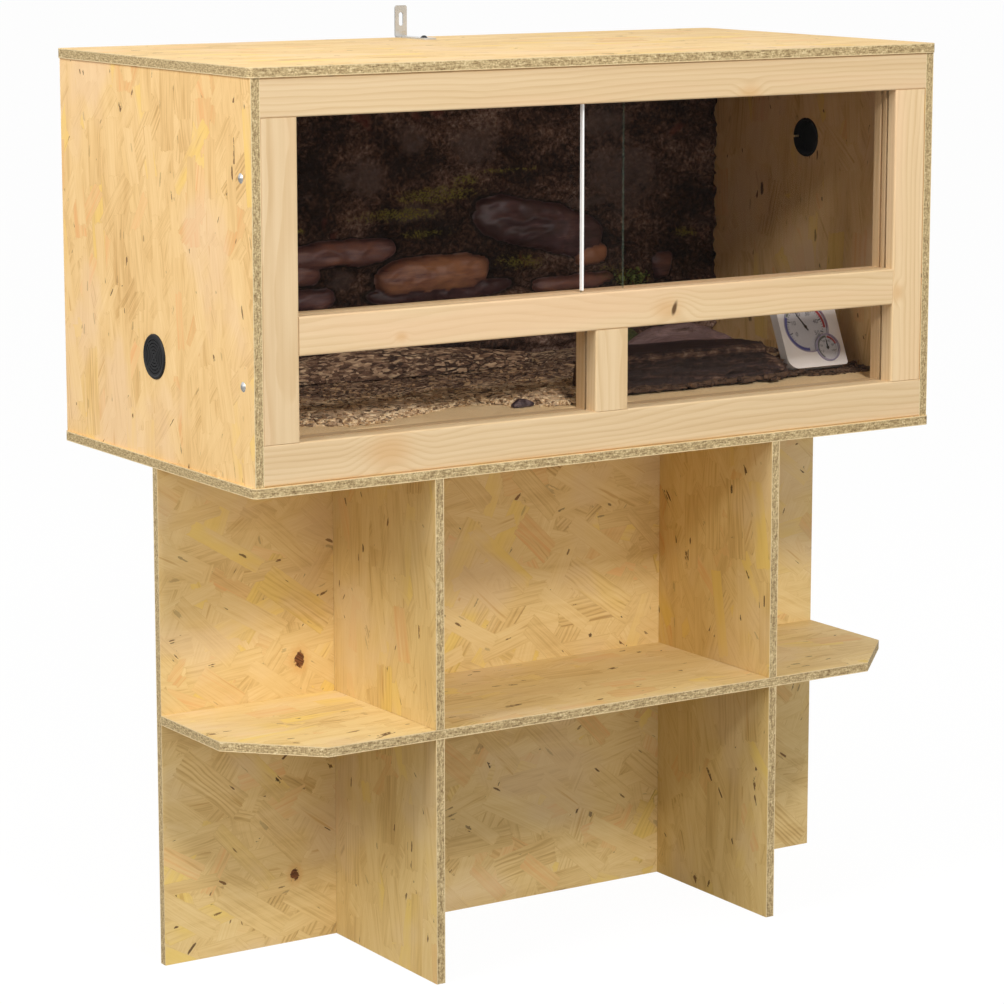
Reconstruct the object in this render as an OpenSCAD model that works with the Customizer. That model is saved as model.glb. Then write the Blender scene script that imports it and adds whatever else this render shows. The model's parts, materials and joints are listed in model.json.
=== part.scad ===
// Furnished terrarium cabinet of strand board and pine on an open board stand.
// Millimetres. X to the right, Y to the back, Z up. The origin is on the floor,
// in the middle of the stand's footprint.

/* [Boards] */
// Thickness of every strand board
board_t = 12; // [10:0.5:18]
// How far the top and bottom boards stand proud of the carcass all round
overhang = 3; // [3:0.5:8]
// Corner radius of the top and bottom boards, seen from above
board_corner_r = 8; // [2:1:20]
// Diameter of the dowels in the board edges
board_dowel_d = 6; // [4:0.5:7]
// Length of the dowels in the board edges
board_dowel_l = 24; // [20:1:36]
// Depth that a dowel goes into the face of a board
face_hole = 8; // [4:0.5:9]
// Distance of the outer dowels from the middle of the depth
dowel_reach = 180; // [80:5:190]

/* [Cabinet] */
// Width of the top and bottom boards
cabinet_w = 1000; // [900:10:1200]
// Depth of the top and bottom boards
cabinet_d = 500; // [460:10:600]
// Clear height between the bottom and top boards
inner_h = 470; // [430:5:600]

/* [Stand] */
// Height of the stand
stand_h = 624; // [420:2:800]
// Distance between the middles of the two dividers
divider_pitch = 500; // [300:10:700]
// Height of the middle of the shelf above the floor
shelf_mid_h = 312; // [120:2:360]
// Length that is cut from both edges at each front corner of the shelf
shelf_cut = 95; // [20:5:150]
// Play on each side of a board in its lap slot
lap_gap = 0.2; // [0.1:0.1:0.6]

/* [Front frame] */
// Depth of the frame, front to back
frame_d = 45; // [40:1:60]
// Width of the stiles and of the mullion
stile_w = 48; // [36:1:70]
// Height of the top rail
top_rail_h = 46; // [36:1:70]
// Height of the bottom rail
bottom_rail_h = 49; // [36:1:80]
// Height of the middle rail
middle_rail_h = 46; // [30:1:60]
// Clear height of the two lower windows
window_h = 100; // [60:5:160]
// Radius of the eased long edges
ease_r = 2.5; // [0.5:0.5:4]
// Diameter of the dowels in the frame joints
frame_dowel_d = 8; // [6:0.5:8]
// Length of the dowels in the frame joints
frame_dowel_l = 30; // [20:1:36]
// Distance of those dowels from the back of the frame
frame_dowel_in = 6.5; // [5:0.5:7]

/* [Glass] */
// Thickness of the glass
glass_t = 4; // [3:0.5:5]
// Play on each side of a pane in its groove
glass_gap = 0.4; // [0.2:0.1:0.6]
// Front of the frame to the middle of the front track
front_track_in = 17.5; // [12:0.5:18]
// Distance between the middles of the two tracks
track_pitch = 11; // [9:0.5:12]
// Depth of the tracks in the middle rail
low_track = 5; // [3:0.5:6]
// Depth of the tracks in the top rail, which lets a pane be lifted out
top_track = 12; // [11:0.5:16]
// Depth of the tracks and glazing grooves in the stiles
side_track = 8; // [4:0.5:12]
// How far the glass stands up in the top rail
top_hold = 5; // [3:0.5:5]
// Overlap of the two closed sliding panes
pane_overlap = 69; // [20:1:120]
// Depth of the glazing groove round the lower windows
fixed_groove = 6; // [4:0.5:8]
// Gap between a pane's edge and the bottom of its groove
edge_gap = 0.3; // [0.2:0.1:1]
// Width of the strip on the right pane's leading edge
strip_w = 2.5; // [2:0.5:8]
// Wall of that strip
strip_wall = 0.5; // [0.4:0.1:0.8]

/* [Vents and fixings] */
// Bore for a vent cap in a side board
vent_bore_d = 51; // [30:1:70]
// Diameter of the flange of a vent cap
vent_flange_d = 55; // [54:1:78]
// Middle of a vent to the floor board, or to the top board on the right
vent_in = 124; // [80:2:180]
// Head diameter of the side screws
screw_head_d = 12; // [8:0.5:16]
// Length of the side screws
screw_l = 38; // [30:1:40]
// Side screws to the front edge of the side board
screw_in = 26; // [20:0.5:30]
// Side screws to the floor board and to the top board
screw_up = 115; // [60:5:180]
// Width of the wall bracket
bracket_w = 18; // [14:1:40]
// Sheet thickness of the wall bracket
bracket_t = 2; // [1.5:0.5:3]
// Length of the bracket's leg on the top board
bracket_l = 78; // [50:1:120]
// Height of the bracket's upright leg
bracket_h = 42; // [34:1:80]
// Width of the slot for the wall screw
slot_w = 6.5; // [4:0.5:9]
// Length of that slot, end to end
slot_l = 18; // [10:1:24]
// Middle of the slot above the top board
slot_up = 24; // [20:1:25]

/* [Furnishing] */
// Depth of the sand
sand_h = 50; // [20:1:60]
// Thickness of the bark litter on the sand
litter_h = 4; // [2:0.5:8]
// Rise of the litter in the mound at the front left
mound_h = 11; // [0:1:20]
// Least thickness of the rock backdrop
backdrop_t = 20; // [10:1:30]
// Height of the stones and hollows on the backdrop
relief_h = 26; // [10:1:40]
// Length of the bark slab
slab_l = 290; // [120:5:320]
// Depth of the bark slab, front to back
slab_w = 150; // [80:5:170]
// Height of the bark slab
slab_h = 46; // [20:1:60]
// Length of the log at the back
log_l = 470; // [200:10:520]
// Thickness of the log at the back
log_w = 78; // [40:1:90]
// How far the log stands out of the litter
log_h = 34; // [15:1:50]
// Length of the moss cushion
moss_l = 105; // [60:5:140]
// Depth of the moss cushion
moss_w = 70; // [40:5:80]
// Height of the moss cushion
moss_h = 34; // [15:1:50]
// Length of the pebble on the sand
pebble_l = 32; // [15:1:45]
// Side of the square gauge
gauge_w = 96; // [90:1:110]
// Thickness of the gauge case
gauge_t = 14; // [10:0.5:20]
// Lean of the gauge from upright, in degrees
gauge_lean = 24; // [10:1:30]
// Radius of the temperature dial
dial_r = 34; // [28:0.5:35]
// Radius of the humidity dial
small_dial_r = 17; // [12:0.5:20]

/* [Hidden] */
$fn = 64;
eps = 0.01;
skin_gap = 0.2;

// Levels
stand_top = stand_h;
floor_z = stand_top + board_t;
ceiling_z = floor_z + inner_h;
roof_z = ceiling_z + board_t;
window_z = floor_z + bottom_rail_h;
middle_z = window_z + window_h;
door_z = middle_z + middle_rail_h;
door_top = ceiling_z - top_rail_h;

// Carcass faces
carcass_w = cabinet_w - 2 * overhang;
carcass_d = cabinet_d - 2 * overhang;
side_x = carcass_w / 2 - board_t;
front_y = -carcass_d / 2;
frame_back_y = front_y + frame_d;
back_y = carcass_d / 2 - board_t;
door_x = side_x - stile_w;

// Glass
groove_w = glass_t + 2 * glass_gap;
front_track_y = front_y + front_track_in;
rear_track_y = front_track_y + track_pitch;
fixed_y = (front_track_y + rear_track_y) / 2;
pane_w = door_x + side_track - edge_gap + pane_overlap / 2;
pane_bottom = door_z - low_track + edge_gap;
pane_h = door_top + top_hold - pane_bottom;
fixed_w = door_x - stile_w / 2 + 2 * (fixed_groove - edge_gap);
fixed_h = window_h + 2 * (fixed_groove - edge_gap);

// Dowels and screws
dowel_play = 0.05;
frame_dowel_y = frame_back_y - frame_dowel_in;
back_dowel_x = side_x * 0.6;
screw_shank_d = 4;
screw_y = front_y + screw_in;
bracket_screw_d = 3.5;
bracket_screw_l = 11;
bracket_screw_in = 60 / 78 * bracket_l;

// Furnishing
sand_z = floor_z + sand_h;
litter_z = sand_z + litter_h;
backdrop_y = back_y - backdrop_t;
relief_y = backdrop_y - relief_h;
slab_x = side_x * 0.42;
slab_y = frame_back_y + slab_w * 0.83;
rear_slab_x = side_x * 0.66;
rear_slab_y = slab_y + slab_w * 0.9;
log_x = -side_x * 0.23;
log_y = relief_y - 14 - log_w / 2;
moss_x = side_x * 0.55;
moss_y = relief_y - moss_w * 0.85;
pebble_x = -side_x * 0.16;
pebble_y = frame_back_y + 37;
gauge_x = side_x - 87.5;
gauge_y = frame_back_y + 54;
dial_at = [-5, gauge_w * 0.58];
small_at = dial_at + [26, -31];
pod_wall = 1.6;
pod_h = 2.5;
dial_sink = 3;
dial_t = 0.6;
lens_t = 1;
needle_shaft_r = 0.9;
needle_play = 0.05;

// Colours
osb = "#d9b777";
pine = "#ecd6a8";
beech = "#c9a878";
clear = [0.75, 0.85, 0.85, 0.35];
black = "#1c1c1e";
steel = "#b9b9b4";
silver = "#cfcfd2";

// ---------- Helpers ----------

// Rectangle centred on the origin with four true round corners
module round_rect(w, h, r) {
    square([w - 2 * r, h], center = true);
    square([w, h - 2 * r], center = true);
    for (sx = [-1, 1], sy = [-1, 1]) {
        translate([sx * (w / 2 - r), sy * (h / 2 - r)]) circle(r);
    }
}

// Box between two corners
module block(low, high) {
    translate(low) cube(high - low);
}

// Batten along X with eased edges, between two corners
module batten_x(low, high) {
    mid = (low + high) / 2;
    translate([low[0], mid[1], mid[2]]) rotate([90, 0, 90])
        linear_extrude(high[0] - low[0]) round_rect(high[1] - low[1], high[2] - low[2], ease_r);
}

// Batten along Z with eased edges, between two corners
module batten_z(low, high) {
    mid = (low + high) / 2;
    translate([mid[0], mid[1], low[2]])
        linear_extrude(high[2] - low[2]) round_rect(high[0] - low[0], high[1] - low[1], ease_r);
}

// Upright round bar between two heights
module post(x, y, z1, z2, r) {
    translate([x, y, z1]) cylinder(h = z2 - z1, r = r);
}

// Smooth wandering value, about -1 to 1, for the natural shapes
function wander(a, k) = (sin(a + k * 97) + 0.6 * sin(a * 2.3 + k * 41) + 0.4 * sin(a * 5.1 + k * 13)) / 2;

// Closed skin over arches of points that stand along X, with a flat underside
module skin(arches) {
    n = len(arches[0]);
    m = len(arches);
    k = n * m;
    sides = [
        for (i = [0:m - 2], j = [0:n - 1])
            let (a = i * n + j, b = i * n + (j + 1) % n, c = a + n, d = b + n)
                each [[a, c, b], [b, c, d]]
    ];
    ends = [
        for (j = [0:n - 1])
            let (j2 = (j + 1) % n)
                each [[k, j, j2], [k + 1, k - n + j2, k - n + j]]
    ];
    middles = [for (a = [arches[0], arches[m - 1]]) (a[0] + a[n - 1] + a[floor(n / 2)]) / 3];
    polyhedron(concat([for (a = arches) each a], middles), concat(sides, ends));
}

// Solid under a grid of heights: nx by ny cells on a flat base at height 0
module relief(lx, ly, nx, ny, heights) {
    row = ny + 1;
    top = [for (i = [0:nx], j = [0:ny]) [lx * i / nx, ly * j / ny, heights[i][j]]];
    rim = concat(
        [for (i = [0:nx]) i * row],
        [for (j = [1:ny]) nx * row + j],
        [for (i = [nx - 1:-1:0]) i * row + ny],
        [for (j = [ny - 1:-1:1]) j]
    );
    n = len(rim);
    k = len(top);
    base = [for (p = rim) [top[p][0], top[p][1], 0]];
    under = [
        for (i = [0:n - 1]) [k + n, k + i, k + (i + 1) % n]
    ];
    faces = [
        for (i = [0:nx - 1], j = [0:ny - 1])
            let (a = i * row + j, b = a + row)
                each [[a, a + 1, b + 1], [a, b + 1, b]]
    ];
    walls = [
        for (i = [0:n - 1])
            let (j = (i + 1) % n)
                each [[rim[i], rim[j], k + j], [rim[i], k + j, k + i]]
    ];
    polyhedron(concat(top, base, [[lx / 2, ly / 2, 0]]), concat(faces, walls, under));
}

// ---------- Stand ----------

// Slot for a crossing board, cut from one side to the middle of a joint
module lap_slot(low, high) {
    block(low, high);
}

module stand_spine() {
    color(osb) difference() {
        block([-cabinet_w / 2, -board_t / 2, 0], [cabinet_w / 2, board_t / 2, stand_top]);
        for (s = [-1, 1]) {
            lap_slot(
                [s * divider_pitch / 2 - board_t / 2 - lap_gap, -board_t, stand_h / 2],
                [s * divider_pitch / 2 + board_t / 2 + lap_gap, board_t, stand_top + 1]
            );
        }
    }
}

// Divider s = -1 on the left, 1 on the right: lapped on the spine and on the shelf
module stand_divider(s) {
    x = s * divider_pitch / 2;
    half_y = (-cabinet_d / 2 - board_t / 2) / 2;
    color(osb) difference() {
        block(
            [x - board_t / 2, -cabinet_d / 2, 0],
            [x + board_t / 2, cabinet_d / 2, stand_top]
        );
        lap_slot(
            [x - board_t, -board_t / 2 - lap_gap, -1],
            [x + board_t, board_t / 2 + lap_gap, stand_h / 2]
        );
        lap_slot(
            [x - board_t, -cabinet_d / 2 - 1, shelf_mid_h - board_t / 2],
            [x + board_t, half_y, shelf_mid_h + board_t / 2 + 2 * lap_gap]
        );
        for (t = [-1, 1]) {
            post(x, t * dowel_reach, stand_top - board_dowel_l + face_hole - 1, stand_top + 1,
                board_dowel_d / 2 + dowel_play);
        }
    }
}

module stand_left_divider() {
    stand_divider(-1);
}

module stand_right_divider() {
    stand_divider(1);
}

module stand_shelf() {
    w = cabinet_w / 2;
    front = -cabinet_d / 2;
    back = -board_t / 2;
    half_y = (front + back) / 2;
    color(osb) difference() {
        translate([0, 0, shelf_mid_h - board_t / 2]) linear_extrude(board_t) polygon([
            [-w, back], [-w, front + shelf_cut], [-w + shelf_cut, front],
            [w - shelf_cut, front], [w, front + shelf_cut], [w, back]
        ]);
        for (s = [-1, 1]) {
            lap_slot(
                [s * divider_pitch / 2 - board_t / 2 - lap_gap, half_y, shelf_mid_h - board_t],
                [s * divider_pitch / 2 + board_t / 2 + lap_gap, 0, shelf_mid_h + board_t]
            );
        }
    }
}

module stand_dowels() {
    color(beech) for (s = [-1, 1], t = [-1, 1]) {
        post(s * divider_pitch / 2, t * dowel_reach, stand_top + face_hole - board_dowel_l - 0.5,
            stand_top + face_hole - 0.5, board_dowel_d / 2);
    }
}

// ---------- Carcass ----------

// Middle lines of the dowels in the edges of the side and back boards
side_dowels = [for (s = [-1, 1], y = [-dowel_reach, 0, dowel_reach]) [s * (side_x + board_t / 2), y]];
back_dowels = [for (s = [-1, 1]) [s * back_dowel_x, back_y + board_t / 2]];

// Holes for those dowels on both sides of the joint at height z
module board_dowel_holes(points, z, low, high) {
    for (p = points) {
        post(p[0], p[1], z - low, z + high, board_dowel_d / 2 + dowel_play);
    }
}

module horizontal_board(z) {
    translate([0, 0, z]) linear_extrude(board_t) round_rect(cabinet_w, cabinet_d, board_corner_r);
}

module bottom_panel() {
    color(osb) difference() {
        horizontal_board(stand_top);
        board_dowel_holes(concat(side_dowels, back_dowels), floor_z, face_hole, 1);
        for (s = [-1, 1], t = [-1, 1]) {
            post(s * divider_pitch / 2, t * dowel_reach, stand_top - 1, stand_top + face_hole,
                board_dowel_d / 2 + dowel_play);
        }
    }
}

module top_panel() {
    color(osb) difference() {
        horizontal_board(ceiling_z);
        board_dowel_holes(concat(side_dowels, back_dowels), ceiling_z, 1, face_hole);
        post(0, cabinet_d / 2 - bracket_screw_in, roof_z - bracket_screw_l + bracket_t, roof_z + 1,
            bracket_screw_d / 2 + dowel_play);
    }
}

// Side board s = -1 on the left, 1 on the right, with its vent at height vent_z
module side_panel(s, vent_z) {
    x = s * side_x;
    edge_hole = board_dowel_l - face_hole + 1;
    color(osb) difference() {
        block(
            [min(x, x + s * board_t), front_y, floor_z],
            [max(x, x + s * board_t), -front_y, ceiling_z]
        );
        board_dowel_holes(side_dowels, floor_z, 1, edge_hole);
        board_dowel_holes(side_dowels, ceiling_z, edge_hole, 1);
        translate([x - board_t * 2, 0, vent_z]) rotate([0, 90, 0])
            cylinder(h = board_t * 4, d = vent_bore_d);
        for (z = [floor_z + screw_up, ceiling_z - screw_up]) {
            translate([x - board_t * 2, screw_y, z]) rotate([0, 90, 0])
                cylinder(h = board_t * 4, r = screw_shank_d / 2 + dowel_play);
        }
    }
}

left_vent_z = floor_z + vent_in;
right_vent_z = ceiling_z - vent_in;

module left_side_panel() {
    side_panel(-1, left_vent_z);
}

module right_side_panel() {
    side_panel(1, right_vent_z);
}

module back_panel() {
    edge_hole = board_dowel_l - face_hole + 1;
    color(osb) difference() {
        block([-side_x, back_y, floor_z], [side_x, back_y + board_t, ceiling_z]);
        board_dowel_holes(back_dowels, floor_z, 1, edge_hole);
        board_dowel_holes(back_dowels, ceiling_z, edge_hole, 1);
    }
}

module carcass_dowels() {
    edge_part = board_dowel_l - face_hole + 0.5;
    color(beech) for (p = concat(side_dowels, back_dowels)) {
        post(p[0], p[1], floor_z - face_hole + 0.5, floor_z + edge_part, board_dowel_d / 2);
        post(p[0], p[1], ceiling_z - edge_part, ceiling_z + face_hole - 0.5, board_dowel_d / 2);
    }
}

// ---------- Front frame ----------

// Both tracks of the sliding panes between two heights and two places along X
module tracks(x1, x2, z1, z2) {
    for (y = [front_track_y, rear_track_y]) {
        block([x1, y - groove_w / 2, z1], [x2, y + groove_w / 2, z2]);
    }
}

// Glazing groove of the fixed panes
module fixed_glazing(x1, x2, z1, z2) {
    block([x1, fixed_y - groove_w / 2, z1], [x2, fixed_y + groove_w / 2, z2]);
}

// Both fixed panes' grooves, run round the lower windows
module window_grooves() {
    for (s = [-1, 1]) {
        mid = s * (door_x + stile_w / 2) / 2;
        half = (door_x - stile_w / 2) / 2 + fixed_groove;
        fixed_glazing(mid - half, mid + half, window_z - fixed_groove, middle_z + fixed_groove);
    }
}

// Upright and level dowel places in the frame: x, z and whether the dowel is level
frame_dowel_list = [
    for (s = [-1, 1])
        each [
            [s * (door_x + stile_w / 2), window_z, false],
            [s * (door_x + stile_w / 2), door_top, false],
            [s * door_x, (middle_z + door_z) / 2, true]
        ],
    [0, window_z, false],
    [0, middle_z, false]
];

// The frame's dowels, or their holes when play and room are given
module frame_dowel_shapes(play, room) {
    l = frame_dowel_l + 2 * room;
    for (d = frame_dowel_list) {
        translate([d[0], frame_dowel_y, d[1]]) rotate([0, d[2] ? 90 : 0, 0])
            cylinder(h = l, r = frame_dowel_d / 2 + play, center = true);
    }
}

module frame_holes() {
    frame_dowel_shapes(dowel_play, 1);
}

module top_rail() {
    color(pine) difference() {
        batten_x([-side_x, front_y, door_top], [side_x, frame_back_y, ceiling_z]);
        tracks(-door_x - side_track, door_x + side_track, door_top - 1, door_top + top_track);
        frame_holes();
    }
}

module bottom_rail() {
    color(pine) difference() {
        batten_x([-side_x, front_y, floor_z], [side_x, frame_back_y, window_z]);
        window_grooves();
        frame_holes();
    }
}

// Stile s = -1 on the left, 1 on the right
module stile(s) {
    x1 = s * door_x;
    x2 = s * side_x;
    color(pine) difference() {
        batten_z([min(x1, x2), front_y, window_z], [max(x1, x2), frame_back_y, door_top]);
        tracks(-door_x - side_track, door_x + side_track, door_z - low_track, door_top + 1);
        window_grooves();
        frame_holes();
        for (z = [floor_z + screw_up, ceiling_z - screw_up]) {
            translate([s * (side_x + board_t - screw_l / 2), screw_y, z]) rotate([0, 90, 0])
                cylinder(h = screw_l + 2, r = screw_shank_d / 2 + dowel_play, center = true);
        }
    }
}

module left_stile() {
    stile(-1);
}

module right_stile() {
    stile(1);
}

module middle_rail() {
    color(pine) difference() {
        batten_x([-door_x, front_y, middle_z], [door_x, frame_back_y, door_z]);
        tracks(-door_x - 1, door_x + 1, door_z - low_track, door_z + 1);
        window_grooves();
        frame_holes();
    }
}

module mullion() {
    color(pine) difference() {
        batten_z([-stile_w / 2, front_y, window_z], [stile_w / 2, frame_back_y, middle_z]);
        window_grooves();
        frame_holes();
    }
}

module frame_dowels() {
    color(beech) frame_dowel_shapes(0, 0);
}

// ---------- Glass ----------

// Pane in the plane y with its lower left corner at x, z
module pane(x, y, z, w, h) {
    color(clear) block([x, y - glass_t / 2, z], [x + w, y + glass_t / 2, z + h]);
}

module left_sliding_pane() {
    pane(-door_x - side_track + edge_gap, rear_track_y, pane_bottom, pane_w, pane_h);
}

module right_sliding_pane() {
    pane(door_x + side_track - edge_gap - pane_w, front_track_y, pane_bottom, pane_w, pane_h);
}

// Channel strip on the leading edge of the right pane, between the rails
module pane_edge_strip() {
    edge_x = door_x + side_track - edge_gap - pane_w;
    half = glass_t / 2;
    color("white") difference() {
        block(
            [edge_x - strip_wall, front_track_y - half - strip_wall, door_z + 2],
            [edge_x + strip_w - strip_wall, front_track_y + half + strip_wall, door_top - 1]
        );
        block(
            [edge_x, front_track_y - half, door_z],
            [edge_x + strip_w + 1, front_track_y + half, door_top]
        );
    }
}

module left_fixed_pane() {
    pane(-door_x - fixed_groove + edge_gap, fixed_y, window_z - fixed_groove + edge_gap, fixed_w, fixed_h);
}

module right_fixed_pane() {
    pane(stile_w / 2 - fixed_groove + edge_gap, fixed_y, window_z - fixed_groove + edge_gap, fixed_w, fixed_h);
}

// ---------- Vents and fixings ----------

vent_flange_t = 2.4;
vent_wall = 1.8;
vent_lip = 0.9;
vent_slot_w = 1;
vent_rings = 5;

// Rings of arc slots through the face of a vent cap, left whole at four spokes
module vent_slots(h) {
    step = (vent_bore_d / 2 - vent_wall * 2) / (vent_rings + 0.4);
    difference() {
        for (i = [1:vent_rings]) {
            difference() {
                cylinder(h = h, r = i * step + vent_slot_w / 2, center = true);
                cylinder(h = h + 1, r = i * step - vent_slot_w / 2, center = true);
            }
        }
        for (a = [45, 135]) {
            rotate([0, 0, a]) cube([vent_bore_d, 2.2, h + 2], center = true);
        }
    }
}

// Snap-in vent cap along Z: the flange lies on z = 0 and the sleeve goes down through the board
module vent_cap() {
    r = vent_bore_d / 2 - skin_gap;
    sleeve = board_t + 2;
    rim_r = vent_flange_d / 2;
    difference() {
        union() {
            rotate_extrude($fn = 96) polygon([
                [0, 0], [rim_r, 0], [rim_r, vent_flange_t * 0.4], [rim_r - 1, vent_flange_t],
                [rim_r - 3, vent_flange_t], [rim_r - 4.5, vent_flange_t * 0.7], [0, vent_flange_t * 0.7]
            ]);
            rotate_extrude($fn = 96) polygon([
                [r - vent_wall, eps], [r, eps], [r, -board_t - skin_gap], [r + vent_lip, -board_t - skin_gap],
                [r, -sleeve], [r - vent_wall, -sleeve]
            ]);
        }
        vent_slots(vent_flange_t * 3);
        for (a = [0, 90]) {
            rotate([0, 0, a]) translate([0, 0, -sleeve - 1 + (board_t - 3) / 2])
                cube([vent_flange_d * 2, 3, board_t - 3 + 2], center = true);
        }
    }
}

module left_vent_cap() {
    color(black) translate([-side_x - board_t, 0, left_vent_z]) rotate([0, -90, 0]) vent_cap();
}

module right_vent_cap() {
    color(black) translate([side_x + board_t, 0, right_vent_z]) rotate([0, 90, 0]) vent_cap();
}

// Screw along Z with its head above z = 0: a low dome with a cross recess
module dome_screw(head_d, head_h, shank_d, l) {
    ball_r = (pow(head_d / 2, 2) + pow(head_h, 2)) / (2 * head_h);
    difference() {
        union() {
            intersection() {
                cylinder(h = head_h, d = head_d);
                translate([0, 0, head_h - ball_r]) sphere(r = ball_r, $fn = 96);
            }
            translate([0, 0, -l]) cylinder(h = l + eps, d = shank_d);
        }
        for (a = [0, 90]) {
            rotate([0, 0, a]) translate([0, 0, head_h])
                cube([head_d * 0.5, head_d * 0.1, head_h], center = true);
        }
    }
}

screw_head_h = 2.2;

module side_screws() {
    color(silver) for (s = [-1, 1], z = [floor_z + screw_up, ceiling_z - screw_up]) {
        translate([s * (side_x + board_t), screw_y, z]) rotate([0, s * 90, 0])
            dome_screw(screw_head_d, screw_head_h, screw_shank_d, screw_l);
    }
}

// Steel angle: one leg on the top board, the other upright against the wall
module wall_bracket() {
    bend_r = 2 * bracket_t;
    end_r = 3;
    back = cabinet_d / 2;
    color(steel) difference() {
        union() {
            translate([-bracket_w / 2, 0, 0]) rotate([90, 0, 90]) linear_extrude(bracket_w)
                translate([back, roof_z]) difference() {
                    union() {
                        translate([-bracket_l + end_r, 0]) square([bracket_l - end_r - bend_r, bracket_t]);
                        translate([-bracket_t, bend_r]) square([bracket_t, bracket_h - end_r - bend_r]);
                        translate([-bend_r, bend_r]) circle(bend_r);
                    }
                    translate([-bend_r, bend_r]) circle(bend_r - bracket_t);
                    translate([-bend_r * 2 - 1, bracket_t]) square([bend_r * 2 + 1 - bracket_t, bend_r * 2]);
                }
            // Ends of both legs, rounded at their corners
            translate([0, back - bracket_l + end_r, roof_z]) linear_extrude(bracket_t)
                intersection() {
                    round_rect(bracket_w, end_r * 2, end_r - eps);
                    translate([-bracket_w, -end_r * 2]) square([bracket_w * 2, end_r * 2 + eps]);
                }
            translate([0, back, roof_z + bracket_h - end_r]) rotate([90, 0, 0]) linear_extrude(bracket_t)
                intersection() {
                    round_rect(bracket_w, end_r * 2, end_r - eps);
                    translate([-bracket_w, -eps]) square([bracket_w * 2, end_r * 2]);
                }
        }
        translate([0, back - bracket_t / 2, roof_z + slot_up]) rotate([90, 0, 0]) {
            cube([slot_w, slot_l - slot_w, bracket_t * 3], center = true);
            for (s = [-1, 1]) {
                translate([0, s * (slot_l - slot_w) / 2, 0])
                    cylinder(h = bracket_t * 3, d = slot_w, center = true);
            }
        }
        post(0, back - bracket_screw_in, roof_z - 1, roof_z + bracket_t + 1, bracket_screw_d / 2 + 0.4);
    }
}

module bracket_screw() {
    color(black) translate([0, cabinet_d / 2 - bracket_screw_in, roof_z + bracket_t])
        dome_screw(9.5, 3, bracket_screw_d, bracket_screw_l);
}

// ---------- Furnishing ----------

// Stones that stand out of the backdrop: x, height over the floor board, half length,
// half height, tilt in degrees
backdrop_stones = [
    [-112, 219, 96, 21, 2], [20, 165, 104, 30, 1], [196, 226, 98, 37, -14], [300, 170, 44, 25, 8],
    [392, 160, 60, 24, -6], [-270, 160, 88, 34, 6], [-395, 240, 70, 46, 12], [-60, 300, 120, 34, -5],
    [120, 330, 90, 30, 10], [300, 290, 110, 38, -8], [-300, 350, 120, 48, -6], [10, 400, 130, 40, 5],
    [250, 410, 110, 44, -7], [420, 370, 60, 50, 9], [-440, 110, 46, 30, 0], [150, 120, 70, 24, 4]
];

function stone_bulge(x, h, s) =
    let (
        dx = x - s[0],
        dh = h - s[1],
        a = (dx * cos(s[4]) + dh * sin(s[4])) / s[2],
        b = (dh * cos(s[4]) - dx * sin(s[4])) / s[3],
        q = pow(a, 4) + pow(b, 4)
    )
    q < 1 ? pow(1 - q, 0.5) * (0.62 + 0.2 * sin(s[0] * 3)) : 0;

// Share of the relief at a place on the backdrop, 0 to 1, and none up to height low
function backdrop_share(x, h, low) =
    h <= low ? 0
    : min(1, 0.2 + 0.1 * wander(x * 1.7, 1) + 0.1 * wander(h * 4.1 + x * 0.6, 2)
        + max([for (s = backdrop_stones) stone_bulge(x, h, s)]));

module backdrop() {
    nx = 44;
    nh = 24;
    w = 2 * side_x - 2 * skin_gap;
    h = inner_h - skin_gap;
    low = sand_h + litter_h + h / nh;
    heights = [
        for (i = [0:nx]) [
            for (j = [0:nh])
                backdrop_t - skin_gap + relief_h * backdrop_share(w * i / nx - w / 2, h * j / nh, low)
        ]
    ];
    color("#4a4636") translate([-w / 2, back_y - skin_gap, floor_z]) rotate([90, 0, 0])
        relief(w, h, nx, nh, heights);
}

// The sand dips in low waves in front of the litter and is level under it
function sand_dip(x, y) =
    let (d = litter_front(x) - y)
    d < 22 ? 0 : min(5, (d - 22) / 6) * (0.75 + 0.25 * wander(x * 1.9 + y, 4));

module sand_bed() {
    nx = 32;
    ny = 14;
    w = 2 * side_x - 2 * skin_gap;
    d = backdrop_y - frame_back_y - 2 * skin_gap;
    y0 = frame_back_y + skin_gap;
    heights = [
        for (i = [0:nx]) [for (j = [0:ny]) sand_h - sand_dip(w * i / nx - w / 2, y0 + d * j / ny)]
    ];
    color("#c9a86a") translate([-w / 2, y0, floor_z]) relief(w, d, nx, ny, heights);
}

// Front edge of the litter: places along X with their distance behind the frame
litter_edge = [
    [-460, 50], [-367, 46], [-330, 20], [-300, 22], [-230, 49], [-160, 75], [-125, 84],
    [-95, 62], [-62, 48], [-50, 15], [0, 13], [60, 30], [98, 62], [150, 45], [200, 45],
    [275, 60], [328, 65], [380, 50], [460, 46]
];

function litter_front(x) = frame_back_y + lookup(x, litter_edge) + 4 * wander(x * 5.3, 7);

// Top of the litter over the sand at distance d behind its front edge: a mound at the left
function litter_top(x, d) =
    let (
        from_side = min(1, max(0, (x + side_x - skin_gap) / 40)),
        from_slab = min(1, max(0, (60 - x) / 40)),
        swell = 0.8 + 0.2 * wander(x * 3.1, 5)
    )
    litter_h + mound_h * swell * from_side * from_slab * sin(min(180, d * 1.8));

module bark_litter() {
    n = 64;
    w = side_x - skin_gap;
    back = backdrop_y - skin_gap;
    arches = [
        for (i = [0:n])
            let (x = -w + 2 * w * i / n, front = litter_front(x))
                concat(
                    [[x, back, 0], [x, back, litter_h]],
                    [for (d = [100, 86, 70, 50, 30, 14, 3]) [x, front + d, litter_top(x, d)]],
                    [[x, front, 0]]
                )
    ];
    color("#5b4330") translate([0, 0, sand_z]) skin(arches);
}

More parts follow.
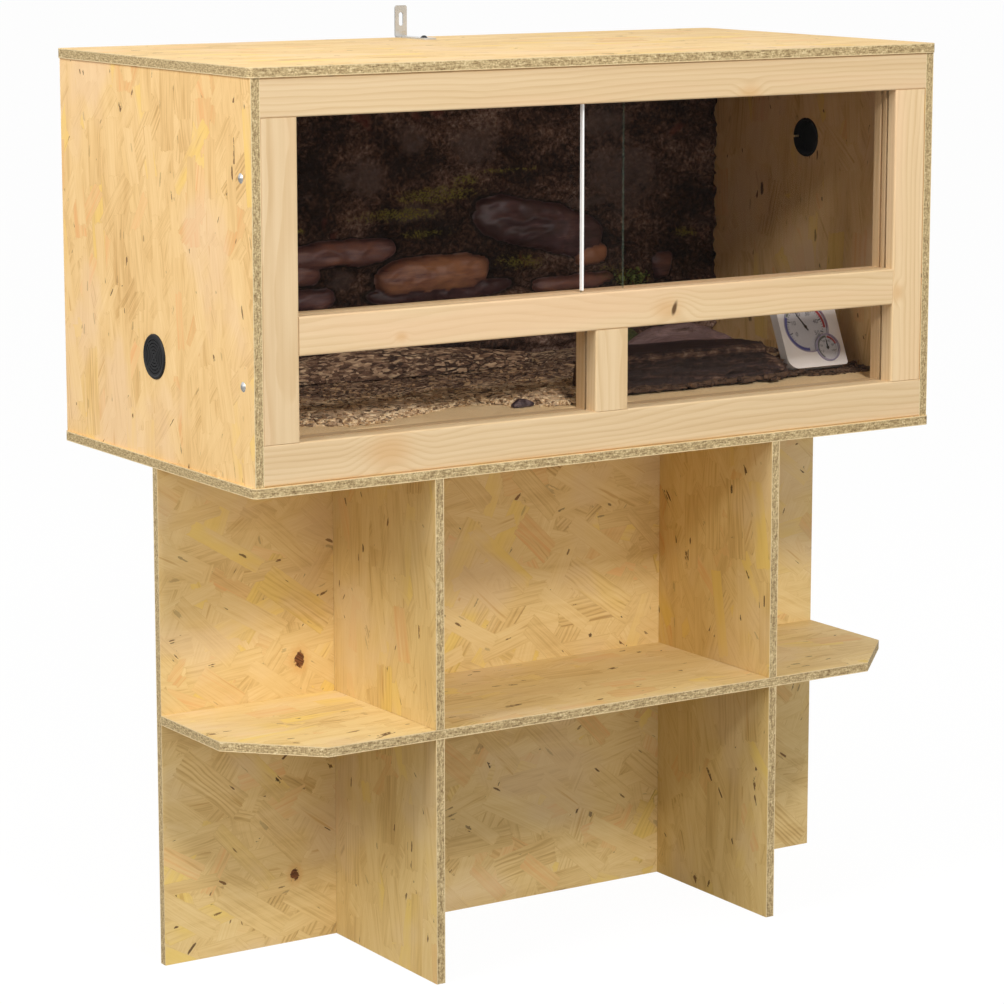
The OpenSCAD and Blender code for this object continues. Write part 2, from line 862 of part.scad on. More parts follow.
// Piece of bark, wood or stone that lies along X: a wavering ridge over a profile, which is a
// list of [across, up] shares of half the width and of the height, from back to front
module ridge(profile, at, size, steps, k, turn = 0) {
    arches = [
        for (i = [0:steps])
            let (
                t = i / steps,
                taper = pow(sin(12 + 156 * t), 0.55),
                bend = size[1] * 0.12 * wander(t * 260, k)
            )
                [
                    for (j = [0:len(profile) - 1])
                        let (rough = taper * (1 + 0.09 * wander(j * 32 + t * 400, k + 3)))
                            [
                                size[0] * (t - 0.5),
                                bend + size[1] / 2 * profile[j][0] * rough,
                                size[2] * profile[j][1] * rough
                            ]
                ]
    ];
    translate(at) rotate([0, 0, turn]) skin(arches);
}

// Profile of a rounded piece
function round_profile(n) = [
    for (j = [0:n]) let (a = 180 * j / n) [cos(a), j % n == 0 ? 0 : pow(sin(a), 0.7)]
];

// Profile of bark in two layers: the upper one ends in a step halfway to the front
layer_profile = [
    [1, 0], [1, 0.45], [0.8, 0.85], [0.45, 1], [0.1, 0.92], [0.02, 0.7],
    [-0.3, 0.62], [-0.72, 0.5], [-0.8, 0.36], [-0.97, 0.26], [-1, 0]
];

module bark_slab() {
    color("#4d372c") ridge(layer_profile, [slab_x, slab_y, litter_z], [slab_l, slab_w, slab_h], 24, 2, 9);
}

// Smaller slab behind it that lies the other way
module rear_slab() {
    size = [slab_l * 0.65, slab_w * 0.47, slab_h * 0.96];
    color("#6b4d48") ridge(layer_profile, [rear_slab_x, rear_slab_y, litter_z], size, 16, 6, -5);
}

module rear_log() {
    color("#5a4636") ridge(round_profile(11), [log_x, log_y, litter_z], [log_l, log_w, log_h], 26, 5, -2);
}

module moss_cushion() {
    color("#5d6b2f") ridge(round_profile(11), [moss_x, moss_y, litter_z], [moss_l, moss_w, moss_h], 16, 8, 6);
}

module pebble() {
    size = [1, 0.56, 0.3] * pebble_l;
    color("#3f3038") ridge(round_profile(8), [pebble_x, pebble_y, sand_z], size, 8, 3, 4);
}

// ---------- Gauge ----------

// Stands the gauge up: local X right, local Z up its face, the face at local y = 0
module place_gauge() {
    lift = gauge_t * sin(gauge_lean);
    translate([gauge_x, gauge_y, litter_z + lift]) rotate([-gauge_lean, 0, 0]) children();
}

// Disc or ring on the face at a dial's middle, from depth y1 back to depth y2
module face_disc(at, r, y1, y2) {
    translate([at[0], y2, at[1]]) rotate([90, 0, 0]) cylinder(h = y2 - y1, r = r, $fn = 96);
}

// Case outline: round corners, nearly square at the lower right
module case_outline() {
    r = 16;
    small_r = 4;
    w = gauge_w;
    difference() {
        translate([0, w / 2]) round_rect(w, w, r);
        translate([w / 2 - r, -1]) square([r + 1, r + 1]);
    }
    translate([w / 2 - r - eps, small_r]) square([r + eps, r - small_r + eps]);
    translate([w / 2 - r - eps, 0]) square([r - small_r + eps, r]);
    translate([w / 2 - small_r, small_r]) circle(small_r);
}

module gauge_case() {
    pod_r = small_dial_r + pod_wall;
    color("#dcdad4") place_gauge() difference() {
        union() {
            translate([0, gauge_t, 0]) rotate([90, 0, 0]) linear_extrude(gauge_t) case_outline();
            face_disc(small_at, pod_r, -pod_h, gauge_t - 1);
            prop();
        }
        difference() {
            face_disc(dial_at, dial_r, -1, dial_sink);
            face_disc(small_at, pod_r, -pod_h - 1, dial_sink + 1);
        }
        face_disc(small_at, small_dial_r, -pod_h - 1, dial_sink - pod_h);
        for (at = [dial_at, small_at]) {
            face_disc(at, needle_shaft_r + needle_play, -pod_h, gauge_t - 2);
        }
    }
}

// Strut on the back that carries the leaning case
module prop() {
    up = gauge_w * 0.62;
    near = up * 0.85;
    far = near + 7;
    translate([-4, 0, 0]) rotate([90, 0, 90]) linear_extrude(8) polygon([
        [gauge_t - 1, up], [gauge_t - 1, up - 12],
        [gauge_t + near * cos(gauge_lean), near * sin(gauge_lean)],
        [gauge_t + far * cos(gauge_lean), far * sin(gauge_lean)]
    ]);
}

module gauge_dials() {
    pod_r = small_dial_r + pod_wall;
    color("#e9e7e2") place_gauge() {
        difference() {
            face_disc(dial_at, dial_r - skin_gap, dial_sink - dial_t, dial_sink);
            face_disc(small_at, pod_r + skin_gap, -pod_h, dial_sink + 1);
            face_disc(dial_at, needle_shaft_r + needle_play, 0, dial_sink + 1);
        }
        difference() {
            face_disc(small_at, small_dial_r - skin_gap, dial_sink - pod_h - dial_t, dial_sink - pod_h);
            face_disc(small_at, needle_shaft_r + needle_play, -pod_h, dial_sink);
        }
    }
}

module gauge_lenses() {
    pod_r = small_dial_r + pod_wall;
    color(clear) place_gauge() {
        difference() {
            face_disc(dial_at, dial_r - skin_gap, -lens_t / 2, lens_t / 2);
            face_disc(small_at, pod_r + skin_gap, -pod_h, dial_sink);
        }
        face_disc(small_at, small_dial_r - skin_gap, -pod_h, -pod_h + lens_t);
    }
}

// Needle on its shaft in front of a dial: a tapered blade with a short tail
module needle(at, face, l, angle) {
    gap = 0.3;
    thick = 0.5;
    hub_r = 2;
    translate([at[0], face - gap, at[1]]) rotate([90, 0, 0]) {
        rotate([0, 0, angle]) linear_extrude(thick) polygon([
            [-1.1, 0], [-0.35, l], [0.35, l], [1.1, 0], [0.8, -l * 0.25], [-0.8, -l * 0.25]
        ]);
        cylinder(h = thick + 0.4, r = hub_r);
        translate([0, 0, -5]) cylinder(h = 5 + eps, r = needle_shaft_r);
    }
}

module temperature_needle() {
    color(black) place_gauge() needle(dial_at, dial_sink - dial_t, dial_r * 0.72, 30);
}

module humidity_needle() {
    color(black) place_gauge() needle(small_at, dial_sink - pod_h - dial_t, small_dial_r * 0.66, 0);
}

stand_spine();
stand_left_divider();
stand_right_divider();
stand_shelf();
stand_dowels();
bottom_panel();
top_panel();
left_side_panel();
right_side_panel();
back_panel();
carcass_dowels();
top_rail();
bottom_rail();
left_stile();
right_stile();
middle_rail();
mullion();
frame_dowels();
left_sliding_pane();
right_sliding_pane();
pane_edge_strip();
left_fixed_pane();
right_fixed_pane();
left_vent_cap();
right_vent_cap();
side_screws();
wall_bracket();
bracket_screw();
backdrop();
sand_bed();
bark_litter();
bark_slab();
rear_slab();
rear_log();
moss_cushion();
pebble();
gauge_case();
gauge_dials();
gauge_lenses();
temperature_needle();
humidity_needle();
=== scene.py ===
import json
import math
import random

import bmesh
import bpy
from mathutils import Matrix, Vector, noise
from mathutils.bvhtree import BVHTree


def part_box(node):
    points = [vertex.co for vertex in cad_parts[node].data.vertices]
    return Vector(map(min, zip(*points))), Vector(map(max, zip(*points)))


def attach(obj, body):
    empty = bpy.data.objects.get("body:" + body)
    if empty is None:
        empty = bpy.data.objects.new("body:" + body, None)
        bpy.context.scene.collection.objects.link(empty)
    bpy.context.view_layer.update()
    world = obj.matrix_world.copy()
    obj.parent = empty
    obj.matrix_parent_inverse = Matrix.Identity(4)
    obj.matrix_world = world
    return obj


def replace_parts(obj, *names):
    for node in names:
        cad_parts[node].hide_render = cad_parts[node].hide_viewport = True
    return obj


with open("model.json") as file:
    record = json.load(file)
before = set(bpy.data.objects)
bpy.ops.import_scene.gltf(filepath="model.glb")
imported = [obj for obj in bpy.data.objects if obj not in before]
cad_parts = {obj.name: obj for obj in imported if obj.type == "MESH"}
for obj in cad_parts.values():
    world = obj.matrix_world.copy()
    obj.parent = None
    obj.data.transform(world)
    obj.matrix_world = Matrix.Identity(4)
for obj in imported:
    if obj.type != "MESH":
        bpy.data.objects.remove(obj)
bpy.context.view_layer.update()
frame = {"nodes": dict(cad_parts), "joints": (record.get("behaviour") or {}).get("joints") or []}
mm = 0.001

# ---- The studio -----------------------------------------------------------------------------
# A plain white floor that runs to the horizon, soft lamps at the front and the left of which one
# reaches in under the top rail, and the lens and stand point of the catalogue picture.


class Wire:
    """A socket in a material. Sums, products and powers of wires add Math nodes."""

    def __init__(self, tree, socket=None):
        self.tree = tree
        self.socket = socket

    def node(self, kind, inputs=None, out=0, stops=None, **settings):
        made = self.tree.nodes.new("ShaderNode" + kind)
        for name, value in settings.items():
            setattr(made, name, value)
        if stops:
            ramp = made.color_ramp
            while len(ramp.elements) < len(stops):
                ramp.elements.new(0.5)
            for element, (place, colour) in zip(ramp.elements, stops):
                element.position = place
                element.color = (*colour, 1.0)
        for name, value in (inputs or {}).items():
            if isinstance(value, Wire):
                self.tree.links.new(value.socket, made.inputs[name])
            elif made.inputs[name].type == "RGBA":
                made.inputs[name].default_value = (*value, 1.0)
            else:
                made.inputs[name].default_value = value
        return Wire(self.tree, made.outputs[out] if len(made.outputs) else None)

    def also(self, out):
        """Another output of the node that made this wire."""
        return Wire(self.tree, self.socket.node.outputs[out])

    def math(self, operation, *values):
        return self.node("Math", dict(enumerate(values)), operation=operation)

    def __add__(self, other):
        return self.math("ADD", self, other)

    def __sub__(self, other):
        return self.math("SUBTRACT", self, other)

    def __rsub__(self, other):
        return self.math("SUBTRACT", other, self)

    def __mul__(self, other):
        return self.math("MULTIPLY", self, other)

    def __truediv__(self, other):
        return self.math("DIVIDE", self, other)

    def __pow__(self, other):
        return self.math("POWER", self, other)

    def __gt__(self, other):
        return self.math("GREATER_THAN", self, other)

    def __lt__(self, other):
        return self.math("LESS_THAN", self, other)

    def __abs__(self):
        return self.math("ABSOLUTE", self)

    __radd__ = __add__
    __rmul__ = __mul__

    def step(self, low, high):
        """0 below low, 1 above high and smooth between them; low may be the larger."""
        inputs = {0: self, 1: low, 2: high, 3: 0.0, 4: 1.0}
        return self.node("MapRange", inputs, interpolation_type="SMOOTHSTEP")

    def vector(self, x, y, z=0.0):
        return self.node("CombineXYZ", {0: x, 1: y, 2: z})

    def attribute(self, name):
        """A value that the mesh holds at each of its points."""
        return self.node("Attribute", attribute_name=name, out="Fac")

    def axes(self):
        """The three parts of a vector or colour."""
        parts = self.tree.nodes.new("ShaderNodeSeparateXYZ")
        self.tree.links.new(self.socket, parts.inputs[0])
        return [Wire(self.tree, parts.outputs[i]) for i in range(3)]

    def grain(self, where, scale=1.0, detail=2.0, rough=0.5, warp=0.0):
        """Noise from 0 to 1 about a mean of one half."""
        inputs = {"Vector": where, "Scale": scale, "Detail": detail, "Roughness": rough, "Distortion": warp}
        return self.node("TexNoise", inputs)

    def cells(self, where, **settings):
        """Voronoi cells one unit apart."""
        return self.node("TexVoronoi", {"Vector": where, "Scale": 1.0}, **settings)

    def tint(self, low, high, share):
        """Colour low where share is 0 and colour high where it is 1."""
        return self.node("Mix", {0: share, 6: low, 7: high}, out=2, data_type="RGBA")


def start_finish(name):
    """A new material: its first wire, and where a surface point is (metres, in the cabinet's own frame)."""
    made = bpy.data.materials.new(name)
    made.use_nodes = True
    made.node_tree.nodes.clear()
    wire = Wire(made.node_tree)
    place = wire.node("TexCoord", out="Object")
    return made, wire, place


def put(name, bm, finish, smooth=False):
    """Puts a finished shape in the scene."""
    mesh = bpy.data.meshes.new(name)
    bm.to_mesh(mesh)
    bm.free()
    mesh.polygons.foreach_set("use_smooth", [smooth] * len(mesh.polygons))
    mesh.materials.append(finish)
    made = bpy.data.objects.new(name, mesh)
    bpy.context.scene.collection.objects.link(made)
    return made


def white_floor():
    made, wire, place = start_finish("studio_floor")
    lit = wire.node("BsdfDiffuse", {"Color": (0.42, 0.42, 0.42)})
    glow = wire.node("Emission", {"Color": (1.0, 1.0, 1.0), "Strength": 1.11})
    seen = wire.node("LightPath", out="Is Camera Ray")
    shader = wire.node("MixShader", {0: seen * 0.86, 1: lit, 2: glow})
    wire.node("OutputMaterial", {"Surface": shader})
    bm = bmesh.new()
    far = 30.0
    bm.faces.new([bm.verts.new((x * far, y * far, 0.0)) for x, y in ((-1, -1), (1, -1), (1, 1), (-1, 1))])
    put("studio_floor", bm, made)


def white_world():
    world = bpy.data.worlds.new("studio")
    bpy.context.scene.world = world
    world.use_nodes = True
    world.node_tree.nodes.clear()
    wire = Wire(world.node_tree)
    fill = wire.node("Background", {"Color": (0.98, 0.97, 0.94), "Strength": 0.50})
    seen = wire.node("Background", {"Color": (1.0, 1.0, 1.0), "Strength": 1.0})
    share = wire.node("LightPath", out="Is Camera Ray")
    for ray in ("Is Glossy Ray", "Is Transmission Ray"):
        share = wire.math("MAXIMUM", share, wire.node("LightPath", out=ray))
    shader = wire.node("MixShader", {0: share, 1: fill, 2: seen})
    wire.node("OutputWorld", {"Surface": shader})


def soft_lamp(name, at, towards, size, power):
    light = bpy.data.lights.new(name, "AREA")
    light.shape = "RECTANGLE"
    light.size, light.size_y = size
    light.energy = power
    light.color = (1.0, 0.98, 0.95)
    lamp = bpy.data.objects.new(name, light)
    lamp.location = at
    lamp.rotation_euler = (Vector(towards) - Vector(at)).to_track_quat("-Z", "Y").to_euler()
    lamp.visible_camera = False
    bpy.context.scene.collection.objects.link(lamp)


def picture_camera():
    eye = bpy.data.cameras.new("picture_camera")
    eye.sensor_width = 36.0
    eye.lens = 123.25
    eye.shift_x = -0.002
    eye.shift_y = -0.05
    eye.clip_end = 60.0
    camera = bpy.data.objects.new("picture_camera", eye)
    camera.location = (-2.36065, -3.66661, 1.34289)
    camera.rotation_euler = (math.radians(80.306), 0.0, math.radians(-32.796))
    bpy.context.scene.collection.objects.link(camera)
    bpy.context.scene.camera = camera


white_floor()
white_world()
soft_lamp("key_lamp", (-0.42, -3.1, 3.1), (0.0, -0.1, 0.75), (0.55, 0.55), 74.0)
soft_lamp("left_lamp", (-3.4, -0.5, 2.9), (0.0, 0.0, 0.7), (1.8, 1.8), 96.0)
soft_lamp("front_lamp", (0.55, -3.3, 0.42), (0.2, 0.0, 0.45), (1.1, 0.8), 10.0)
picture_camera()
bpy.context.scene.view_settings.view_transform = "Standard"

# ---- Strand boards --------------------------------------------------------------------------
# Every flat part of cabinet and stand is 12 mm strand board: thin pine strands pressed flat in
# resin, sanded on both faces, and sawn, so that the edges show the crushed layers.


strand_size = (0.125, 0.050)


def strand_layer(wire, along, across, turn, seed, tear):
    """One layer of loose strands laid at a turn: how deep inside a strand a point lies (metres, below 0
    outside), its place in the strand's own run and width, and the strand's three random values."""
    turn = math.radians(turn)
    u = (along * math.cos(turn) + across * math.sin(turn)) / strand_size[0] + seed * 1.37
    v = (across * math.cos(turn) - along * math.sin(turn)) / strand_size[1] + seed * 0.71
    row = wire.math("FLOOR", v)
    u = u + wire.node("TexWhiteNoise", {"Vector": wire.vector(row, seed)}, noise_dimensions="2D")
    column = wire.math("FLOOR", u)
    cell = {"Vector": wire.vector(column, row, seed)}
    luck = wire.node("TexWhiteNoise", cell, out="Color", noise_dimensions="3D")
    chance = luck.axes()
    run = (u - column - 0.5) * strand_size[0]
    width = (v - row - 0.5) * strand_size[1] - run * (chance[0] - 0.5) * 0.34
    half_run = chance[1] * 0.026 + 0.032 + tear * 0.014
    half_width = chance[2] * 0.011 + 0.008 + tear * 0.002
    inside = wire.math("MINIMUM", half_run - abs(run), half_width - abs(width))
    return inside, wire.vector(run, width, chance[0] * 7.0 + seed), luck


def dress(finish, *nodes):
    """Gives CAD nodes their finish."""
    for node in nodes:
        slots = frame["nodes"][node].data.materials
        slots.clear()
        slots.append(finish)


def end_finish(wire, colour, rough, bump=None, bump_size=0.001, strength=1.0, specular=0.5, **constants):
    """Closes a material with one Principled shader, with an optional bump of the given height in metres."""
    inputs = {"Base Color": colour, "Roughness": rough, "Specular IOR Level": specular, **constants}
    if bump is not None:
        inputs["Normal"] = wire.node("Bump", {"Height": bump, "Distance": bump_size, "Strength": strength})
    shader = wire.node("BsdfPrincipled", inputs)
    wire.node("OutputMaterial", {"Surface": shader})


def strand_board(name, node, along, across, thin, turns, seed, light=(1.0, 1.0, 1.0), marks=()):
    """Finish of a board whose strands run mostly along one axis; along, across and thin are axis numbers.
    turns holds each layer's angle in degrees, light is painted light and shade scaled into the board's
    colour,
    and marks are single bits of bark: (along, across, size) in metres."""
    finish, wire, place = start_finish(name)
    axes = place.axes()
    a, c = axes[along], axes[across]
    tear = wire.grain(wire.vector(a * 150.0, c * 150.0, seed), detail=3.0, rough=0.65) - 0.5
    # what lies on top: place in the strand, its random values, and the dark line along its rim
    spot = wire.vector(a, c, seed)
    luck, rim = (0.5, 0.5, 0.5), 0.0
    for layer, turn in enumerate(turns):
        inside, local, chance = strand_layer(wire, a, c, turn, seed + layer, tear)
        on = inside.step(0.0, 0.0006)
        spot = wire.tint(spot, local, on)
        luck = wire.tint(luck, chance, on)
        rim = wire.math("MAXIMUM", wire.math("MULTIPLY", rim, 1.0 - on), inside.step(0.0018, 0.0003) * on)
    run, width, own = spot.axes()
    luck = luck.axes()
    wander = wire.grain(wire.vector(run * 11.0, width * 34.0, own * 3.1))
    lean = width + (wander - 0.5) * 0.010
    fibre = wire.grain(wire.vector(run * 15.0, lean * 520.0, own * 9.0), detail=3.0, rough=0.65)
    lines = wire.grain(wire.vector(run * 7.0, lean * 200.0, own * 5.0), rough=0.6).step(0.46, 0.72)
    rings = abs(wire.math("FRACT", lean * 160.0 + wander * 1.3) - 0.5).step(0.18, 0.46)
    cloud = wire.grain(wire.vector(a * 6.0, c * 8.0, seed), detail=3.0)
    swirl = wire.grain(wire.vector(a * 5.0, c * 34.0, seed + 5.0), detail=4.0, rough=0.6, warp=1.2)
    tone = 0.50 + (luck[0] - 0.5) * 0.16 + (fibre - 0.5) * 0.50 + (cloud - 0.5) * 0.30 + (swirl - 0.5) * 0.52
    tone = tone - rim * swirl.step(0.44, 0.60) * 0.15 - lines * luck[2].step(0.35, 0.65) * 0.15
    tone = tone - rings * luck[2].step(0.925, 0.935) * 0.16 + 0.04

    # painted light and shade: shade scales a colour by the board's light factor
    def shade(red, green, blue):
        return red * light[0], green * light[1], blue * light[2]

    face = wire.node("ValToRGB", {0: tone}, stops=[
        (0.0, shade(0.36, 0.205, 0.075)), (0.28, shade(0.63, 0.41, 0.165)), (0.50, shade(0.79, 0.565, 0.265)),
        (0.75, shade(0.87, 0.66, 0.350)), (1.0, shade(0.93, 0.76, 0.47)),
    ])
    yellow = luck[1].step(0.88, 0.95) * wander.step(0.35, 0.6) * 0.6
    face = wire.tint(face, shade(0.86, 0.62, 0.16), yellow)
    face = wire.tint(face, shade(0.80, 0.45, 0.19), luck[1].step(0.13, 0.08) * (0.25 + lines * 0.60))
    face = wire.tint(face, shade(0.80, 0.60, 0.42), cloud.step(0.50, 0.66) * 0.40)
    # fine splits and rusty threads along the grain
    thread = wire.grain(wire.vector(run * 8.0, lean * 120.0, own * 5.0 + 3.0), rough=0.6)
    rust = wire.tint(shade(0.40, 0.23, 0.08), shade(0.70, 0.35, 0.08), cloud)
    face = wire.tint(face, rust, thread.step(0.65, 0.75) * 0.55)
    # a few larger bits of bark, with a split running out of each
    for at_along, at_across, size in marks:
        da, dc = a - at_along, c - at_across
        away = (da * da + dc * dc * 0.5) ** 0.5 + tear * size * 1.6
        bark = wire.tint((0.08, 0.03, 0.012), (0.34, 0.13, 0.045), fibre.step(0.4, 0.7))
        face = wire.tint(face, shade(0.72, 0.42, 0.16), away.step(size * 2.6, size) * 0.6)
        face = wire.tint(face, bark, away.step(size * 1.05, size * 0.85))
    # small dark knots drawn out along the grain, and a few larger bits of bark
    for scale, least, grow in (((17.0, 74.0), 0.76, 0.62), ((6.0, 18.0), 0.88, 0.75)):
        spots = wire.vector(run * scale[0] + own * 9.0, width * scale[1] + thread * 0.9)
        near = wire.cells(spots, out="Distance", voronoi_dimensions="2D")
        chosen = near.also("Color").axes()
        reach = wire.math("MAXIMUM", chosen[0] - least, 0.0) * grow
        fleck = (near + tear * 0.26 - reach).step(0.016, -0.016) * wire.math("MINIMUM", reach * 40.0, 1.0)
        dark = wire.tint((0.25, 0.11, 0.035), (0.045, 0.02, 0.009), chosen[1] * 0.6 + fibre * 0.6)
        face = wire.tint(face, dark, fleck * (0.30 + chosen[2].step(0.25, 0.6) * 0.62))
    # sawn edges: crushed strands in section, with the denser skins as pale lines
    normal = wire.node("TexCoord", out="Normal")
    flat = abs(normal.axes()[thin]).step(0.4, 0.6)
    low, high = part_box(node)
    off = abs(axes[thin] - (low[thin] + high[thin]) / 2)
    crushed = wire.grain(place, scale=430.0, rough=0.75)
    layers = wire.grain(wire.vector(a * 130.0, c * 130.0, axes[thin] * 700.0), detail=1.0)
    sawn = wire.node("ValToRGB", {0: crushed * 0.65 + layers * 0.45 - 0.05}, stops=[
        (0.34, (0.22, 0.145, 0.065)), (0.47, (0.42, 0.305, 0.15)), (0.57, (0.59, 0.455, 0.24)),
        (0.70, (0.80, 0.66, 0.40)),
    ])
    sawn = wire.tint(sawn, (0.85, 0.68, 0.40), off.step(0.0046, 0.0054) * 0.8)
    colour = wire.tint(sawn, face, flat)
    relief = (fibre * 0.5 + tone * 0.5) * flat + crushed * (1.0 - flat)
    rough = 0.62 + (cloud - 0.5) * 0.2
    end_finish(wire, colour, rough, relief, 0.0003, 0.5, specular=0.3)
    dress(finish, node)


X, Y, Z = 0, 1, 2
# painted light and shade: the light factors paint the top and left boards paler and the dividers and shelf
# darker, as the light falls on them
strand_board("board_top", "top_panel", X, Y, Z, (24, -17, 9, -6, 3), 2.1, (1.07, 1.04, 1.0))
strand_board("board_bottom", "bottom_panel", X, Y, Z, (30, -20, 12, -8, 0), 5.3)
strand_board("board_left", "left_side_panel", Z, Y, X, (30, -19, 11, -41, 6), 9.4, (1.10, 1.03, 0.98))
strand_board("board_right", "right_side_panel", Z, Y, X, (-24, 16, 38, -9, 4), 14.2, (1.0, 0.98, 1.0))
strand_board("board_back", "back_panel", X, Z, Y, (58, -35, 20, -12, 4), 21.6)
strand_board("board_spine", "stand_spine", X, Z, Y, (-70, 48, -24, 62, 12, -38), 27.9, (0.99, 1.01, 0.96),
             ((-0.306, 0.364, 0.0072), (-0.316, 0.087, 0.0060), (0.432, 0.248, 0.0058)))
strand_board("board_left_divider", "stand_left_divider", Z, Y, X, (44, -30, 16, -12, 5), 33.5,
             (0.86, 0.86, 0.76))
strand_board("board_right_divider", "stand_right_divider", Z, Y, X, (-36, 27, -15, 40, 8), 38.8,
             (0.92, 0.93, 0.80))
strand_board("board_shelf", "stand_shelf", X, Y, Z, (32, -21, 12, -9, 3), 44.4, (0.92, 0.95, 0.91))

# ---- Pine front frame -----------------------------------------------------------------------
# Rails, stiles and mullion are planed pine, 45 mm deep, with eased long edges. They are dowelled
# together behind the glass tracks, and the side boards are screwed to the stiles.


def stretched(wire, axes, along, run, over, seed=None):
    """A place drawn out along one axis, for grain: its scale along that axis and across it."""
    parts = [axes[i] * (run if i == along else over) for i in (X, Y, Z)]
    return wire.vector(*[part if seed is None else part + seed for part in parts])


def pine_stick(name, node, along, pith, seed, knots=(), light=1.0, soft=()):
    """Finish of a stick sawn beside the pith. pith holds its offset from the stick's middle (metres) and
    its drift. Knots and soft (figured wood by a hidden knot) are (place along, place across, size)."""
    finish, wire, place = start_finish(name)
    low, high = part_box(node)
    middle = (low + high) / 2
    axes = place.axes()
    others = [i for i in (X, Y, Z) if i != along]
    run = axes[along]
    face_axis = others[1] if others[1] != Y else others[0]
    p = axes[others[0]] - (middle[others[0]] + pith[0])
    q = axes[others[1]] - (middle[others[1]] + pith[1])
    drift = wire.grain(wire.vector(run * 1.6 + seed, 0.0, seed), detail=1.0) - 0.5
    sway = wire.vector(run * 6.0, axes[others[0]] * 22.0 + seed, axes[others[1]] * 22.0)
    sway = wire.grain(sway) - 0.5
    p = p + drift * pith[2] + (run - middle[along]) * pith[3]
    rings = ((p * p + q * q) ** 0.5) + sway * 0.009
    core, halo = None, None
    for spots, bold in ((knots, 1.0), (soft, 0.0)):
        for place_along, place_other, size in spots:
            # the rings swell round a knot, and the knot itself is a small dark core
            dl = run - place_along
            dq = axes[face_axis] - place_other + sway * size * 3.0
            away = (dl * dl * 0.5 + dq * dq) ** 0.5
            rings = rings + away.step(size * 4.5, 0.0) * size * 1.5
            slant = dl - dq * 0.35 + sway * size * 2.0
            here = ((slant * slant * 3.0 + dq * dq * 0.35) ** 0.5).step(size * 1.1, size * 0.45) * bold
            beside = dl + size * 1.6 * bold
            round_it = ((beside * beside * 0.5 + dq * dq) ** 0.5).step(size * 3.0, size * 0.4)
            core = here if core is None else wire.math("MAXIMUM", core, here)
            halo = round_it if halo is None else wire.math("MAXIMUM", halo, round_it)
    year = wire.math("FRACT", rings / 0.0052)
    late = year.step(0.35, 0.92) * year.step(1.0, 0.93)
    fibre = wire.grain(stretched(wire, axes, along, 14.0, 900.0), detail=3.0, rough=0.6)
    streak = wire.grain(stretched(wire, axes, along, 2.0, 90.0, seed), detail=3.0)
    blush = wire.grain(stretched(wire, axes, along, 2.2, 14.0, seed))
    tone = 0.56 - late * 0.20 + (fibre - 0.5) * 0.22 + (streak - 0.5) * 0.55
    wood = [(0.0, (0.54, 0.345, 0.165)), (0.35, (0.69, 0.495, 0.275)), (0.62, (0.765, 0.575, 0.345)),
            (1.0, (0.83, 0.66, 0.43))]
    # painted light: light scales the wood's colours, so some sticks are painted paler
    stops = [(at, [light * share for share in shade]) for at, shade in wood]
    colour = wire.node("ValToRGB", {0: tone}, stops=stops)
    colour = wire.tint(colour, [light * share for share in (0.80, 0.545, 0.335)], blush.step(0.5, 0.72) * 0.5)
    if core is not None:
        colour = wire.tint(colour, (0.66, 0.36, 0.13), halo * 0.42)
        colour = wire.tint(colour, (0.13, 0.065, 0.022), core)
    relief = fibre * 0.6 + late * 0.4
    end_finish(wire, colour, 0.5 + (fibre - 0.5) * 0.15, relief, 0.0002, 0.5, specular=0.35)
    dress(finish, node)


# painted light: light paints the right stile, middle rail and mullion paler, as more light falls on them
pine_stick("pine_top_rail", "top_rail", X, (0.02, -0.055, 0.05, 0.012), 1.7, soft=((0.205, 1.064, 0.006),))
pine_stick("pine_bottom_rail", "bottom_rail", X, (0.03, 0.05, 0.06, -0.01), 6.1,
           soft=((-0.318, 0.664, 0.011),))
pine_stick("pine_left_stile", "left_stile", Z, (0.01, 0.07, 0.03, 0.01), 11.5)
pine_stick("pine_right_stile", "right_stile", Z, (-0.045, 0.035, 0.05, -0.02), 15.2, light=1.10,
           soft=((0.80, 0.444, 0.004),))
pine_stick("pine_middle_rail", "middle_rail", X, (0.03, 0.045, 0.07, 0.008), 19.9, light=1.04,
           knots=((0.094, 0.806, 0.0075),), soft=((-0.30, 0.797, 0.003),))
pine_stick("pine_mullion", "mullion", Z, (0.02, 0.055, 0.03, 0.0), 24.8, light=1.03)

# ---- Dowels ---------------------------------------------------------------------------------
# Beech dowels, glued in blind holes in the boards and in the frame. None shows.


def speckled(name, low, high, scale, rough, spread, bump_size=0.0, strength=0.5, detail=3.0,
             coarse=0.5, **constants):
    """A whole finish of two tones in a fine cloud, which also varies its gloss."""
    finish, wire, place = start_finish(name)
    cloud = wire.grain(place, scale=scale, detail=detail, rough=coarse)
    relief = (cloud, bump_size, strength) if bump_size else ()
    end_finish(wire, wire.tint(low, high, cloud), rough + (cloud - 0.5) * spread, *relief, **constants)
    return finish


beech = speckled("beech", (0.55, 0.37, 0.19), (0.72, 0.52, 0.30), 900.0, 0.6, 0.2, 0.0002, 1.0,
                 coarse=0.7)
dress(beech, "stand_dowels", "carcass_dowels", "frame_dowels")

# ---- Glass ----------------------------------------------------------------------------------
# Panes of 4 mm float glass with ground edges. The upper two slide in twin tracks; the lower two
# are held in a groove all round. The right sliding pane has a white strip on its leading edge.


